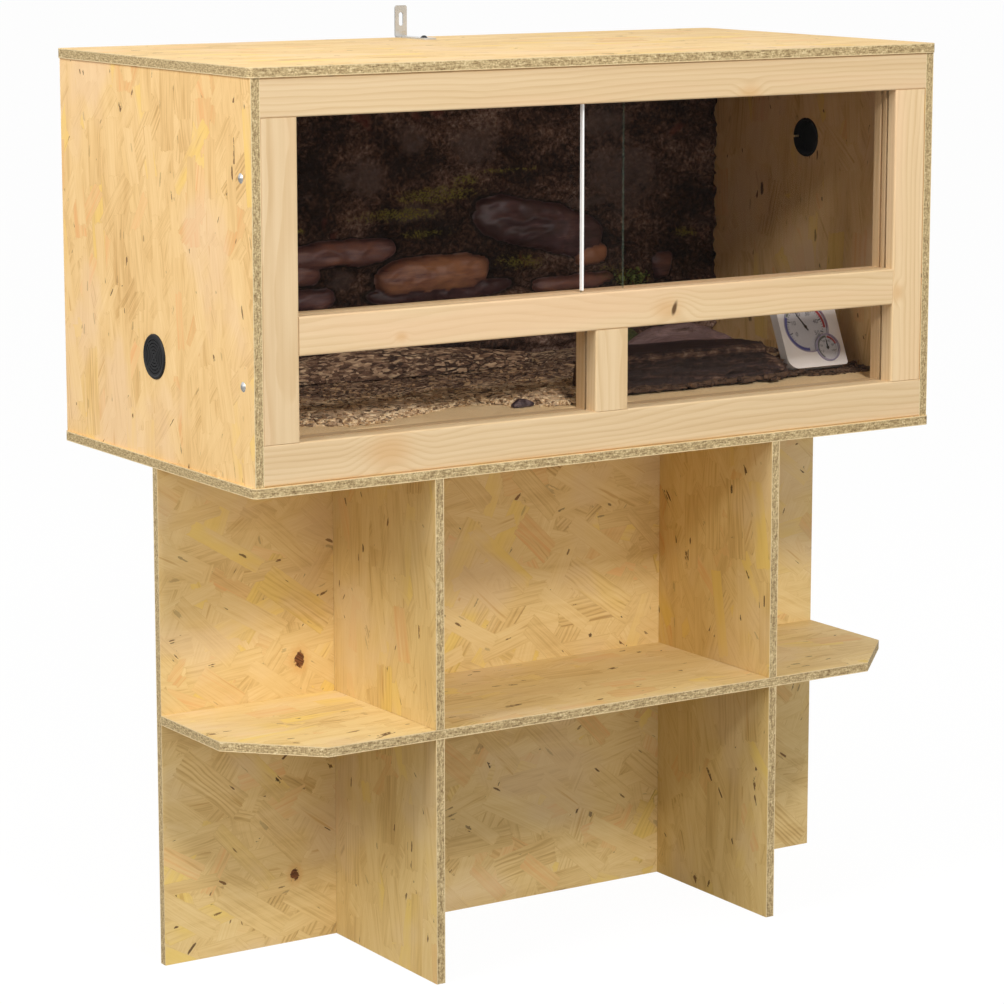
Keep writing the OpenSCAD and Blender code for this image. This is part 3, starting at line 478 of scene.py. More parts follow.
def pane_glass():
    finish, wire, place = start_finish("float_glass")
    normal = wire.node("TexCoord", out="Normal")
    edge = abs(normal.axes()[Y]).step(0.7, 0.3)
    smear = wire.grain(place, scale=9.0, detail=3.0)
    clear = wire.node("BsdfTransparent", {"Color": (0.975, 0.96, 0.95)})
    gloss = wire.node("BsdfGlossy", {"Color": (1.0, 1.0, 1.0), "Roughness": 0.02})
    fresnel = wire.node("Fresnel", {"IOR": 1.45})
    face = wire.node("MixShader", {0: fresnel * (0.10 + smear * 0.06), 1: clear, 2: gloss})
    green = wire.tint((0.20, 0.33, 0.28), (0.36, 0.50, 0.44), wire.grain(place, scale=60.0))
    ground = wire.node("BsdfPrincipled", {"Base Color": green, "Roughness": 0.3})
    through = wire.node("BsdfTransparent", {"Color": (0.70, 0.74, 0.70)})
    side = wire.node("MixShader", {0: 0.25 + smear * 0.1, 1: through, 2: ground})
    shader = wire.node("MixShader", {0: edge, 1: face, 2: side})
    wire.node("OutputMaterial", {"Surface": shader})
    dress(finish, "left_sliding_pane", "right_sliding_pane", "left_fixed_pane", "right_fixed_pane")


pane_glass()
# painted light: the white strip is given a faint glow, though it is no lamp, so that it reads brighter
glow = {"Emission Color": (1.0, 1.0, 1.0), "Emission Strength": 0.12}
strip = speckled("white_strip", (0.88, 0.88, 0.87), (0.96, 0.96, 0.95), 160.0, 0.37, 0.1, 0.0001, 0.4,
                 detail=2.0, **glow)
dress(strip, "pane_edge_strip")

# ---- Vent caps, screws and bracket ----------------------------------------------------------
# Two black snap-in vent caps with black insect gauze behind their slots, zinc-plated screws through
# the sides into the stiles, and a zinc-plated steel angle for the wall with one black screw.


def vent_plastic():
    finish, wire, place = start_finish("vent_plastic")
    orange_peel = wire.grain(place, scale=1100.0)
    dust = wire.grain(place, scale=45.0, detail=3.0)
    colour = wire.tint((0.005, 0.005, 0.006), (0.016, 0.016, 0.018), dust)
    end_finish(wire, colour, 0.50 + (dust - 0.5) * 0.3, orange_peel, 0.0001, 0.5, specular=0.3)
    dress(finish, "left_vent_cap", "right_vent_cap")


def gauze_finish():
    finish, wire, place = start_finish("vent_gauze")
    axes = place.axes()
    slack = wire.grain(place, scale=60.0) * 0.0006
    holes = None
    for axis in (Y, Z):
        weave = abs(wire.math("FRACT", (axes[axis] + slack) / 0.0007) - 0.5).step(0.24, 0.16)
        holes = weave if holes is None else holes * weave
    colour = wire.tint((0.002, 0.002, 0.002), (0.006, 0.006, 0.007), wire.grain(place, scale=900.0))
    end_finish(wire, colour, 0.7 + slack * 90.0, Alpha=1.0 - holes * 0.2, specular=0.1)
    return finish


def put_piece(name, bm, finish, smooth=False):
    """Puts a shape in the scene as a piece of the cabinet."""
    made = put(name, bm, finish, smooth)
    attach(made, "cabinet")
    return made


def bridge(bm, rings):
    """Joins closed rings of points, each to the next."""
    for first, second in zip(rings, rings[1:]):
        for k in range(len(first)):
            m = (k + 1) % len(first)
            bm.faces.new((first[k], first[m], second[m], second[k]))


def vent_gauze(finish):
    """A disc of gauze in each side's bore, against the inner ends of its cap's ribs."""
    for which, side in (("left", 1), ("right", -1)):
        cap = which + "_vent_cap"
        low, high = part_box(cap)
        middle = (low + high) / 2
        # just behind the board's outer face, with a clamped rim
        panel_low, panel_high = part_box(which + "_side_panel")
        outer = panel_low[X] if side > 0 else panel_high[X]
        bm = bmesh.new()
        rings = []
        for radius, sag in ((0.0233, 0.0), (0.020, 0.0002), (0.010, 0.0004)):
            ring = []
            for k in range(48):
                turn = math.tau * k / 48
                y, z = middle[Y] + radius * math.cos(turn), middle[Z] + radius * math.sin(turn)
                ring.append(bm.verts.new((outer + side * (0.0004 + sag), y, z)))
            rings.append(ring)
        bridge(bm, rings)
        bm.faces.new(rings[-1])
        put_piece(cap + "_gauze", bm, finish)


def zinc(name, node, axis):
    finish, wire, place = start_finish(name)
    axes = place.axes()
    brushed = wire.grain(stretched(wire, axes, axis, 60.0, 1600.0))
    bloom = wire.grain(place, scale=140.0, detail=3.0)
    colour = wire.tint((0.50, 0.50, 0.49), (0.74, 0.74, 0.73), bloom * 0.6 + brushed * 0.4)
    end_finish(wire, colour, 0.30 + (bloom - 0.5) * 0.25, brushed, 0.00008, 0.5, Metallic=0.9)
    dress(finish, node)


vent_plastic()
vent_gauze(gauze_finish())
zinc("zinc_screws", "side_screws", X)
zinc("zinc_angle", "wall_bracket", Y)
black = speckled("black_steel", (0.012, 0.012, 0.013), (0.05, 0.05, 0.052), 600.0, 0.35, 0.3, 0.00008,
                 Metallic=0.4)
dress(black, "bracket_screw")

# ---- Rock backdrop --------------------------------------------------------------------------
# A foam rock wall glued to the back panel: river stones bedded in gritty earth, cast, painted and
# grown over with moss. It is sampled on a fine grid, so that each stone keeps its rounded edge.


def lumps(point, size, octaves=3, seed=0.0):
    """Fractal noise, about -1 to 1, for lumps of a size in metres."""
    x, y, z = point
    return noise.fractal(Vector((x / size + seed, y / size, z / size)), 0.9, 2.1, octaves)


def grid_piece(name, finish, points, tints, base, face):
    """A skin over a grid of points, with walls down to its base. points is {(i, j): place or None}."""
    bm = bmesh.new()
    layers = {key: bm.verts.layers.float.new(key) for key in tints}
    verts = {}
    for key, place in points.items():
        verts[key] = bm.verts.new(place)
        for tint, values in tints.items():
            verts[key][layers[tint]] = values[key]
    for i, j in points:
        corners = [(i, j), (i + 1, j), (i + 1, j + 1), (i, j + 1)]
        if all(corner in verts for corner in corners):
            bm.faces.new([verts[corner] for corner in corners])
    loose = [vert for vert in bm.verts if not vert.link_faces]
    bmesh.ops.delete(bm, geom=loose, context="VERTS")
    rim = [edge for edge in bm.edges if edge.is_boundary]
    walls = bmesh.ops.extrude_edge_only(bm, edges=rim)["geom"]
    for vert in walls:
        if isinstance(vert, bmesh.types.BMVert):
            vert.co[face] = base
    bmesh.ops.recalc_face_normals(bm, faces=bm.faces)
    return put_piece(name, bm, finish, smooth=True)


# place along X, height over the floor board, half length, half height (mm), tilt (degrees), hue, lift
rocks = [
    (-117, 206, 82, 18, 1, 0.40, 1.0), (25, 170, 88, 25, 2, 0.66, 1.0), (192, 226, 104, 32, -13, 0.08, 0.95),
    (277, 181, 23, 14, 0, 0.85, 0.8), (246, 145, 67, 11, 2, 0.50, 0.7), (397, 159, 15, 19, 0, 0.30, 0.6),
    (-176, 180, 26, 13, 0, 0.45, 0.7), (-167, 148, 40, 14, 0, 0.22, 0.7), (35, 146, 111, 14, 1, 0.12, 0.5),
    (-300, 190, 72, 23, 4, 0.35, 0.9), (-400, 146, 62, 27, -3, 0.15, 0.8),
    (-60, 100, 84, 22, 3, 0.30, 0.6), (150, 103, 70, 23, -4, 0.10, 0.6), (330, 100, 64, 22, 3, 0.55, 0.6),
]
# patches of moss and of pale worn rock: place along X, height, half length, half height (mm)
mossy = [(8, 225, 40, 7), (-30, 252, 60, 9), (76, 292, 20, 7), (139, 303, 44, 4), (-186, 240, 22, 5),
         (430, 203, 22, 6), (-330, 228, 60, 8), (30, 275, 70, 10), (160, 178, 30, 12), (330, 150, 40, 16)]
worn = [(-180, 282, 22, 5), (276, 253, 26, 8), (-10, 250, 50, 14), (-90, 300, 50, 26), (330, 290, 60, 40),
        (-120, 172, 26, 16), (120, 250, 44, 10), (-400, 300, 50, 30), (-12, 343, 26, 30), (92, 336, 34, 26),
        (-320, 340, 50, 30), (300, 360, 50, 24)]


def rock_bulge(x, h, rock):
    """Height of one stone over its bed: flat on top, round at the rim. Below 0 outside it."""
    tilt = math.radians(rock[4])
    dx, dh = x - rock[0], h - rock[1]
    a = (dx * math.cos(tilt) + dh * math.sin(tilt)) / rock[2]
    b = (dh * math.cos(tilt) - dx * math.sin(tilt)) / rock[3]
    inside = 1.0 - abs(a) ** 3.4 - abs(b) ** 2.6
    return inside ** 0.42 if inside > 0.0 else max(-1.0, inside * 0.6)


def nearest(x, h, patches):
    """1 in the middle of a patch and 0 from twice its size on."""
    return max(max(0.0, 1.0 - 0.5 * math.hypot((x - p[0]) / p[2], (h - p[1]) / p[3])) for p in patches)


def rock_wall_finish():
    finish, wire, place = start_finish("rock_wall")
    stone = wire.attribute("stone")
    hue = wire.attribute("hue")
    axes = place.axes()
    grit = wire.grain(place, scale=170.0, detail=4.0, rough=0.7)
    patch = wire.grain(place, scale=16.0, detail=4.0, rough=0.65)
    flatter = wire.node("VectorMath", {0: place, 1: (1.0, 1.0, 1.7)}, operation="MULTIPLY")
    gloom = wire.grain(flatter, scale=9.0, detail=3.0)
    pale = wire.attribute("pale")
    green = wire.attribute("green")
    earth = wire.node("ValToRGB", {0: grit * 0.60 + patch * 0.30 + gloom * 0.50 - 0.20 + pale * 0.05}, stops=[
        (0.42, (0.014, 0.005, 0.003)), (0.52, (0.068, 0.032, 0.020)), (0.61, (0.20, 0.120, 0.088)),
        (0.74, (0.52, 0.41, 0.35)),
    ])
    bare = (pale * 0.8 + (patch - 0.5) * 1.3 + (gloom - 0.5)).step(0.32, 0.66)
    rock = wire.tint((0.060, 0.040, 0.036), (0.20, 0.145, 0.130), grit * 0.6 + patch * 0.5)
    earth = wire.tint(earth, rock, bare * 0.75)
    tuft = wire.grain(place, scale=420.0)
    moss = wire.tint((0.05, 0.050, 0.008), (0.40, 0.36, 0.06), tuft)
    grown = (green * 0.9 + (patch - 0.5) * 1.2 + (grit - 0.5) * 1.3).step(0.42, 0.72) * tuft.step(0.36, 0.6)
    earth = wire.tint(earth, moss, grown * 0.9)
    ruddy = wire.grain(place, scale=19.0).step(0.66, 0.74) * 0.35
    earth = wire.tint(earth, (0.26, 0.06, 0.04), ruddy)
    # painted shade: the crevice round each stone is painted dark for the shade that falls in it
    earth = wire.tint(earth, (0.010, 0.005, 0.003), stone.step(-0.30, -0.04) * 0.85)
    streak = wire.grain(wire.vector(axes[0] * 16.0, axes[2] * 95.0, hue * 9.0), detail=4.0, rough=0.65)
    smooth = wire.node("ValToRGB", {0: hue * 0.85 + (streak - 0.5) * 0.7 + (patch - 0.5) * 0.5}, stops=[
        (0.0, (0.10, 0.062, 0.066)), (0.14, (0.16, 0.092, 0.105)), (0.30, (0.27, 0.145, 0.140)),
        (0.46, (0.42, 0.20, 0.150)), (0.66, (0.66, 0.33, 0.19)), (0.90, (0.50, 0.22, 0.12)),
    ])
    # pale pinkish streaks across the stones: partly the stones' own streaks, partly painted highlights
    smooth = wire.tint(smooth, (0.90, 0.72, 0.68), streak.step(0.64, 0.80) * 0.7)
    smooth = wire.tint(smooth, (0.05, 0.025, 0.022), streak.step(0.40, 0.26) * 0.7)
    smooth = wire.tint(smooth, moss, grown * 0.6)
    # painted shade: each stone is painted darker towards its rim
    smooth = wire.tint(smooth, (0.075, 0.032, 0.034), stone.step(0.80, 0.30) * 0.72)
    cover = (stone + (grit - 0.5) * 0.16).step(0.0, 0.10)
    colour = wire.tint(earth, smooth, cover)
    rough = 0.85 - cover * (0.40 + streak * 0.25)
    end_finish(wire, colour, rough, grit * (1.0 - cover * 0.8) + streak * 0.2, 0.0025, 0.8)
    return finish


def rock_wall():
    low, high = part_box("backdrop")
    cell = 0.0026
    floor_z = low[Z]
    front = low[Y]
    counts = [round((high[i] - low[i]) / cell) for i in (X, Z)]
    points, stone, hue, green, pale = {}, {}, {}, {}, {}
    for i in range(counts[0] + 1):
        x = low[X] + (high[X] - low[X]) * i / counts[0]
        for j in range(counts[1] + 1):
            z = low[Z] + (high[Z] - low[Z]) * j / counts[1]
            here = Vector((x, 0.0, z))
            sway = lumps(here, 0.055, 3, 7.0) * 7.0
            along, up = x / mm + sway, (z - floor_z) / mm + sway * 0.5 + lumps(here, 0.03, 2, 4.0) * 2.0
            bulge, tone = -1.0, 0.0
            for rock in rocks:
                lift = rock_bulge(along, up, rock)
                if lift > 0.0:
                    lift = max(0.02, lift * rock[6])
                if lift > bulge:
                    bulge, tone = lift, rock[5]
            # earth is scooped out beside the stones
            crag = 1.0 - abs(lumps((x, 0.0, z * 1.7), 0.06, 3, 15.0))
            earth = 0.12 + 0.42 * crag * crag + 0.16 * lumps(here, 0.02, 4)
            earth += 0.07 * lumps(here, 0.006, 2, 3.0)
            earth -= max(0.0, 1.0 - abs(bulge) * 3.0) * 0.22 if bulge < 0.0 else 0.0
            facets = abs(lumps((x, 0.0, z * 1.8), 0.045, 2, 21.0)) * 0.30 + 0.03 * lumps(here, 0.02, 2, 11.0)
            out = 0.10 + bulge * (0.80 - facets) if bulge > 0.0 else earth
            inner = max(0.0, min(1.0, (z - floor_z - 0.056) / 0.01))
            depth = 0.020 + 0.026 * max(0.0, min(1.0, out)) * inner
            points[i, j] = (x, max(front, high[Y] - depth), z)
            stone[i, j] = bulge
            hue[i, j] = tone
            green[i, j] = nearest(along, up, mossy)
            pale[i, j] = nearest(along, up, worn)
    tints = {"stone": stone, "hue": hue, "green": green, "pale": pale}
    made = grid_piece("rock_wall", rock_wall_finish(), points, tints, high[Y], Y)
    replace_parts(made, "backdrop")


rock_wall()

# ---- Sand bed -------------------------------------------------------------------------------
# Loose sand, poured in 50 mm deep and raked by hand, so that it lies in soft dips at the glass.


def over_node(name, node, finish, cell, shape, soften=2):
    """A finer skin over a CAD node seen from above. Its facets are smoothed out, and shape(place, height
    over the node's foot) says how far each point is moved up."""
    low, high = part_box(node)
    mesh = frame["nodes"][node].data
    tree = BVHTree.FromPolygons([v.co for v in mesh.vertices], [p.vertices[:] for p in mesh.polygons])
    counts = [max(3, round((high[i] - low[i]) / cell)) for i in (X, Y)]
    points = {}
    for i in range(counts[0] + 1):
        for j in range(counts[1] + 1):
            x = low[X] + (high[X] - low[X]) * (0.0002 + 0.9996 * i / counts[0])
            y = low[Y] + (high[Y] - low[Y]) * (0.0002 + 0.9996 * j / counts[1])
            hit = tree.ray_cast(Vector((x, y, high[Z] + 0.01)), Vector((0, 0, -1)))[0]
            if hit is not None:
                points[i, j] = hit
    for turn in range(soften):
        level = {}
        for (i, j), place in points.items():
            near = [points[k][Z] for k in ((i + 1, j), (i - 1, j), (i, j + 1), (i, j - 1)) if k in points]
            level[i, j] = (place[Z] * 2.0 + sum(near)) / (2.0 + len(near)) if len(near) == 4 else place[Z]
        for key, height in level.items():
            points[key][Z] = height
    for place in points.values():
        up = shape(place, place[Z] - low[Z])
        place[Z] = min(high[Z], max(low[Z] + 0.0005, place[Z] + up))
    made = grid_piece(name, finish, points, {}, low[Z], Z)
    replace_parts(made, node)
    return made


def sand_finish():
    finish, wire, place = start_finish("sand")
    grains = wire.grain(place, scale=1500.0, rough=0.8)
    coarse = wire.grain(place, scale=420.0, detail=3.0, rough=0.7)
    damp = wire.grain(place, scale=11.0, detail=3.0)
    colour = wire.node("ValToRGB", {0: grains * 0.55 + coarse * 0.35 + damp * 0.2}, stops=[
        (0.32, (0.55, 0.37, 0.18)), (0.50, (0.88, 0.66, 0.36)), (0.62, (0.93, 0.75, 0.47)),
        (0.78, (0.95, 0.84, 0.63)),
    ])
    end_finish(wire, colour, 0.9 - damp * 0.1, grains * 0.5 + coarse * 0.5, 0.0009, 0.8)
    return finish


sand_low, sand_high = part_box("sand_bed")


def sand_shape(place, height):
    rim = min(min(place[i] - sand_low[i], sand_high[i] - place[i]) for i in (X, Y))
    ripple = lumps(place, 0.035, 3) * 0.0009 + lumps(place, 0.006, 2, 5.0) * 0.0003
    return -0.0006 + min(1.0, rim / 0.01) * ripple


over_node("sand", "sand_bed", sand_finish(), 0.003, sand_shape)

# ---- Bark litter ----------------------------------------------------------------------------
# Fine bark mulch, raked into a mound behind the glass at the left. Its border is fringed with chips,
# pale at the left and dark at the right, and loose bits lie all over it.


def litter_finish():
    finish, wire, place = start_finish("litter")
    axes = place.axes()
    twist = wire.grain(place, scale=45.0, detail=3.0) * 1.4
    shreds = wire.vector(axes[0] * 120.0 + twist, axes[1] * 330.0 + twist, axes[2] * 330.0)
    shred = wire.cells(shreds, out="Color")
    plates = wire.vector(axes[0] * 26.0 + twist, axes[1] * 95.0 + twist, axes[2] * 120.0)
    gap = wire.cells(plates, out="Distance", feature="DISTANCE_TO_EDGE")
    fibre = wire.grain(wire.vector(axes[0] * 120.0, axes[1] * 420.0, axes[2] * 420.0), detail=3.0, rough=0.7)
    patch = wire.grain(place, scale=14.0, detail=3.0)
    # painted light and shade: paler on the mound's front and along its back, darker in the furrow between, as
    # the light falls there
    bend = axes[1] + (wire.grain(place, scale=9.0) - 0.5) * 0.07
    painted_light = bend.step(0.020, -0.040) * axes[0].step(0.20, 0.10) * 0.36 + bend.step(0.10, 0.14) * 0.06
    tone = shred.axes()[0] * 0.45 + fibre * 0.45 + patch * 0.25 - 0.06 + painted_light
    colour = wire.node("ValToRGB", {0: tone}, stops=[
        (0.25, (0.045, 0.022, 0.014)), (0.46, (0.170, 0.096, 0.060)), (0.62, (0.40, 0.265, 0.165)),
        (0.82, (0.76, 0.57, 0.37)),
    ])
    crack = gap.step(0.12, 0.01) * (patch.step(0.38, 0.56) * 0.75 + 0.15)
    colour = wire.tint(colour, (0.030, 0.013, 0.008), crack)
    relief = fibre + shred.axes()[1] * 0.8 - crack
    end_finish(wire, colour, 0.85 + (fibre - 0.5) * 0.2, relief, 0.002)
    return finish


def litter_shape(place, height):
    rim = min(1.0, height / 0.004)
    return rim * (-0.0016 + lumps(place, 0.012, 3, 2.0) * 0.0018 + lumps(place, 0.004, 2) * 0.0009)


crust = litter_finish()
litter = over_node("litter", "bark_litter", crust, 0.003, litter_shape, 1)


def chip_finish():
    finish, wire, place = start_finish("bark_chips")
    tone = wire.attribute("tone")
    fibre = wire.grain(place, scale=700.0, detail=3.0, rough=0.7)
    colour = wire.node("ValToRGB", {0: tone + (fibre - 0.5) * 0.35}, stops=[
        (0.05, (0.040, 0.020, 0.012)), (0.40, (0.17, 0.100, 0.058)), (0.66, (0.45, 0.30, 0.165)),
        (0.80, (0.72, 0.52, 0.30)), (0.95, (0.95, 0.80, 0.56)),
    ])
    end_finish(wire, colour, 0.8 + (fibre - 0.5) * 0.3, fibre, 0.0006, 0.8)
    return finish


def scatter(name, finish, bits):
    """One mesh of loose bits. Each is (place, length, width, thickness, turn, tip, tone)."""
    bm = bmesh.new()
    layer = bm.verts.layers.float.new("tone")
    luck = random.Random(len(bits))
    for place, long, wide, thick, turn, tip, tone in bits:
        lay = Matrix.Translation(place) @ Matrix.Rotation(turn, 4, "Z") @ Matrix.Rotation(tip, 4, "Y")
        rim = [(-0.5, 0.0), (-0.28, 0.42), (0.22, 0.5), (0.5, 0.1), (0.3, -0.4), (-0.2, -0.5)]
        rings = []
        for up in (0.0, 1.0):
            ring = []
            for a, b in rim:
                a, b = a + luck.uniform(-0.09, 0.09), b + luck.uniform(-0.12, 0.12)
                height = up * thick + luck.uniform(-0.1, 0.1) * thick
                vert = bm.verts.new(lay @ Vector((a * long, b * wide, height)))
                # painted light: each bit's top is painted a touch paler than its underside
                vert[layer] = tone + up * 0.04
                ring.append(vert)
            rings.append(ring)
        bm.faces.new(rings[0][::-1])
        bm.faces.new(rings[1])
        bridge(bm, rings)
    return put_piece(name, bm, finish)


def litter_chips():
    """Chips all over the litter, and a denser and paler fringe along its front edge."""
    luck = random.Random(41)
    mesh = litter.data
    low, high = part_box("bark_litter")
    tree = BVHTree.FromPolygons([v.co for v in mesh.vertices], [p.vertices[:] for p in mesh.polygons])
    bits = []
    down = Vector((0, 0, -1))
    edge = {}
    for k in range(240):
        x = low[X] + 0.004 + (high[X] - low[X] - 0.008) * k / 239
        y = low[Y] + 0.001
        while y < high[Y] and tree.ray_cast(Vector((x, y, high[Z] + 0.02)), down)[0] is None:
            y += 0.002
        edge[k] = (x, y)
    for k in range(3400):
        x, y = edge[luck.randrange(240)]
        x = min(high[X] - 0.006, max(low[X] + 0.006, x + luck.uniform(-0.003, 0.003)))
        fringe = luck.random() < 0.42
        back = luck.gauss(0.001, 0.0035) if fringe else luck.uniform(0.004, 0.30)
        y = min(high[Y] - 0.01, max(low[Y] + 0.004, y + back))
        hit = tree.ray_cast(Vector((x, y, high[Z] + 0.02)), down)[0]
        z = hit[Z] if hit is not None else low[Z]
        long = luck.uniform(0.004, 0.010) if fringe else luck.uniform(0.004, 0.014)
        # painted light: chips are painted paler towards the front, like the litter under them
        painted_light = max(0.0, min(1.0, (0.015 - y) / 0.055)) * 0.36
        tone = luck.uniform(0.05, 0.66) + painted_light
        if fringe and luck.random() < 0.36:
            tone = luck.uniform(0.8, 1.0)
        if x > 0.16:
            # dark bark beside the slab and under the gauge
            tone = luck.uniform(0.0, 0.34)
            long = long * 1.5
        thick = luck.uniform(0.0008, 0.0022)
        bits.append((Vector((x, y, z - thick * 0.3)), long, long * luck.uniform(0.25, 0.6), thick,
                     luck.uniform(0, math.tau), luck.gauss(0.0, 0.22), tone))
    scatter("litter_chips", chip_finish(), bits)


litter_chips()

# ---- Bark slabs, log, moss and pebble -------------------------------------------------------
# Furnishing laid on the litter: a slab of old bark that has split into layers, with slivers at its
# foot, a smaller one behind it, a half-buried log along the backdrop that litter clings to, a cushion
# of moss, a tuft of plastic leaves, and a dark river pebble on the sand.


def bark_finish(name, smooth_colour, along_scale=14.0, top=0.6, lift=0.0):
    """Bark: torn fibres on its sides and a weathered skin on what faces up."""
    finish, wire, place = start_finish(name)
    axes = place.axes()
    bend = wire.grain(place, scale=20.0) - 0.5
    fibre = wire.grain(
        wire.vector(axes[0] * along_scale, axes[1] * 260.0 + bend * 3.0, axes[2] * 330.0 + bend * 4.0),
        detail=5.0, rough=0.7,
    )
    crumb = wire.grain(place, scale=330.0, detail=3.0, rough=0.7)
    pale = wire.attribute("tone")
    torn = wire.node("ValToRGB", {0: fibre * 0.75 + crumb * 0.25 + pale * 0.3 + lift}, stops=[
        (0.34, (0.020, 0.010, 0.008)), (0.48, (0.085, 0.045, 0.034)), (0.60, (0.21, 0.130, 0.088)),
        (0.74, (0.46, 0.34, 0.25)),
    ])
    skin = wire.tint(smooth_colour, [share * 2.1 for share in smooth_colour], fibre.step(0.45, 0.75))
    normal = wire.node("TexCoord", out="Normal")
    up = (normal.axes()[2] + (crumb - 0.5) * 0.4).step(top, top + 0.25)
    colour = wire.tint(torn, skin, up)
    end_finish(wire, colour, 0.82 - up * 0.15, fibre * (1.0 - up * 0.6) + crumb * 0.3, 0.003, 0.9)
    return finish


def split_slab(finish):
    """The slab in front: a flat-topped block of bark layers whose face is torn and whose right end has
    split into steps. It is lofted from left to right inside the box of its CAD node."""
    low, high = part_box("bark_slab")
    bm = bmesh.new()
    tone = bm.verts.layers.float.new("tone")
    sections, up_face, over_top, down_back = 190, 22, 22, 14
    thick = high[Z] - low[Z] - 0.0012
    rings = []
    for i in range(sections + 1):
        share = i / sections
        x = low[X] + (high[X] - low[X]) * share
        # the top plank ends at 0.83, a splintered layer at 0.97, and the lowest at 1
        lie = share + lumps((0.0, x, 0.0), 0.05, 2, 8.0) * 0.01
        stepped = 0.30 * min(1.0, max(0.0, (lie - 0.825) / 0.02))
        sloped = 0.45 * max(0.0, (lie - 0.845) / 0.155)
        top = thick * (0.97 - stepped - sloped)
        top = max(0.012, top + lumps((x, 0.0, 0.0), 0.06, 2, 3.0) * 0.0012)
        taper = max(0.0, (share - 0.86) / 0.14) ** 2 + max(0.0, (0.05 - share) / 0.05) ** 2
        front = low[Y] + 0.008 + lumps((x, 0.0, 0.0), 0.04, 3, 1.0) * 0.006 + taper * 0.02
        rim = front + 0.004
        back = low[Y] + 0.096 - 0.035 * max(0.0, (share - 0.6) / 0.3) - taper * 0.02
        ring = []
        for k in range(up_face + 1):
            z = (top + 0.004) * k / up_face - 0.004
            layers = math.sin(z * 520.0 + lumps((x, 0.0, z), 0.05, 2, 5.0) * 4.0) * 0.0019
            rough_face = lumps((x * 0.45, 0.0, z), 0.009, 4, 9.0) * 0.0034
            out = min(0.0045, layers + rough_face)
            y = front + (rim - front) * k / up_face - out
            speck = max(0.0, 1.0 - abs(z - top + 0.007) / 0.009)
            speck = speck * (0.6 + lumps((x, 0.0, z), 0.012, 3, 2.0) * 0.6)
            foot = max(0.0, 1.0 - abs(z - 0.004) / 0.008)
            foot = foot * max(0.0, lumps((x, 0.0, 0.0), 0.03, 2, 14.0)) * 1.2
            ring.append((y, z, speck + foot - 0.52))
        for k in range(1, over_top + 1):
            run = k / over_top
            z = top - 0.002 * run + lumps((x * 0.4, run * 0.09, 0.0), 0.02, 3, 6.0) * 0.0008
            ring.append((rim + (back - rim) * run, z, -0.2))
        for k in range(1, down_back + 1):
            run = k / down_back
            z = top * (1.0 - run) ** 0.7 * 0.8 if run < 1.0 else 0.0
            # the foot's rear edge runs slantwise across the litter
            foot_y = min(high[Y] - 0.003, max(back + 0.01, x * 1.47 - 0.168))
            y = back + (foot_y - back) * run
            ring.append((y, z + (lumps((x, y, 0.0), 0.012, 3) * 0.0012 if run < 1.0 else 0.0), 0.0))
        made_ring = []
        for y, z, speck in ring:
            y, z = min(high[Y], max(low[Y], y)), min(high[Z], low[Z] + z)
            vert = bm.verts.new((x, y, z))
            vert[tone] = speck
            made_ring.append(vert)
        rings.append(made_ring)
    bridge(bm, rings)
    bm.faces.new(rings[0][::-1])
    bm.faces.new(rings[-1])
    bmesh.ops.recalc_face_normals(bm, faces=bm.faces)
    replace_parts(put_piece("slab", bm, finish, smooth=True), "bark_slab")
    # dark slivers along its foot, and pale splinters that stand out of the broken end
    bits = []
    luck = random.Random(19)
    for k in range(190):
        x = luck.uniform(low[X] + 0.004, 0.372)
        y = low[Y] + 0.0055 + luck.gauss(0.0, 0.0025) + 0.020 * max(0.0, (x - 0.31) / 0.06)
        y = y + 0.004 * lumps((x, 0, 0), 0.03)
        bits.append((Vector((x, y, low[Z] + luck.uniform(-0.002, 0.0015))), luck.uniform(0.008, 0.022),
                     luck.uniform(0.003, 0.007), luck.uniform(0.002, 0.005), luck.gauss(0.0, 0.35),
                     luck.gauss(0.0, 0.12), luck.uniform(0.0, 0.30)))
    for x, y, z, long, wide, turn, tip, pale in (
        (0.322, -0.122, 0.0235, 0.056, 0.011, -0.10, 0.12, 0.62),
        (0.311, -0.130, 0.0260, 0.034, 0.009, -0.25, 0.05, 0.48),
        (0.327, -0.140, 0.0180, 0.040, 0.012, 0.10, 0.18, 0.22),
        (0.300, -0.112, 0.0330, 0.030, 0.010, -0.05, 0.03, 0.30),
    ):
        bits.append((Vector((x, y, low[Z] + z)), long, wide, 0.0032, turn, tip, pale))
    scatter("slab_splinters", chip_finish(), bits)


def log_shape(place, height):
    return lumps((place[0] * 0.3, place[1], place[2]), 0.012, 4, 1.0) * 0.003 - 0.002


def rear_shape(place, height):
    return lumps((place[0] * 0.3, place[1], place[2]), 0.014, 4, 6.0) * 0.0022 - 0.0015


split_slab(bark_finish("slab_bark", (0.036, 0.019, 0.022)))
rear_finish = bark_finish("rear_bark", (0.14, 0.088, 0.086), 22.0, 0.3)
over_node("rear_bark", "rear_slab", rear_finish, 0.002, rear_shape, 1)
over_node("log", "rear_log", crust, 0.003, log_shape)


def moss_finish():
    finish, wire, place = start_finish("moss")
    leaf = wire.grain(place, scale=520.0, detail=3.0, rough=0.7)
    patch = wire.grain(place, scale=40.0)
    colour = wire.node("ValToRGB", {0: leaf * 0.65 + patch * 0.35}, stops=[
        (0.32, (0.012, 0.014, 0.005)), (0.50, (0.050, 0.058, 0.014)), (0.68, (0.135, 0.145, 0.035)),
        (0.82, (0.30, 0.30, 0.09)),
    ])
    end_finish(wire, colour, 0.9 - leaf * 0.1, leaf, 0.003, 1.0)
    return finish


def moss_shape(place, height):
    return abs(lumps(place, 0.009, 3)) * 0.004 - 0.003


over_node("moss", "moss_cushion", moss_finish(), 0.0018, moss_shape)


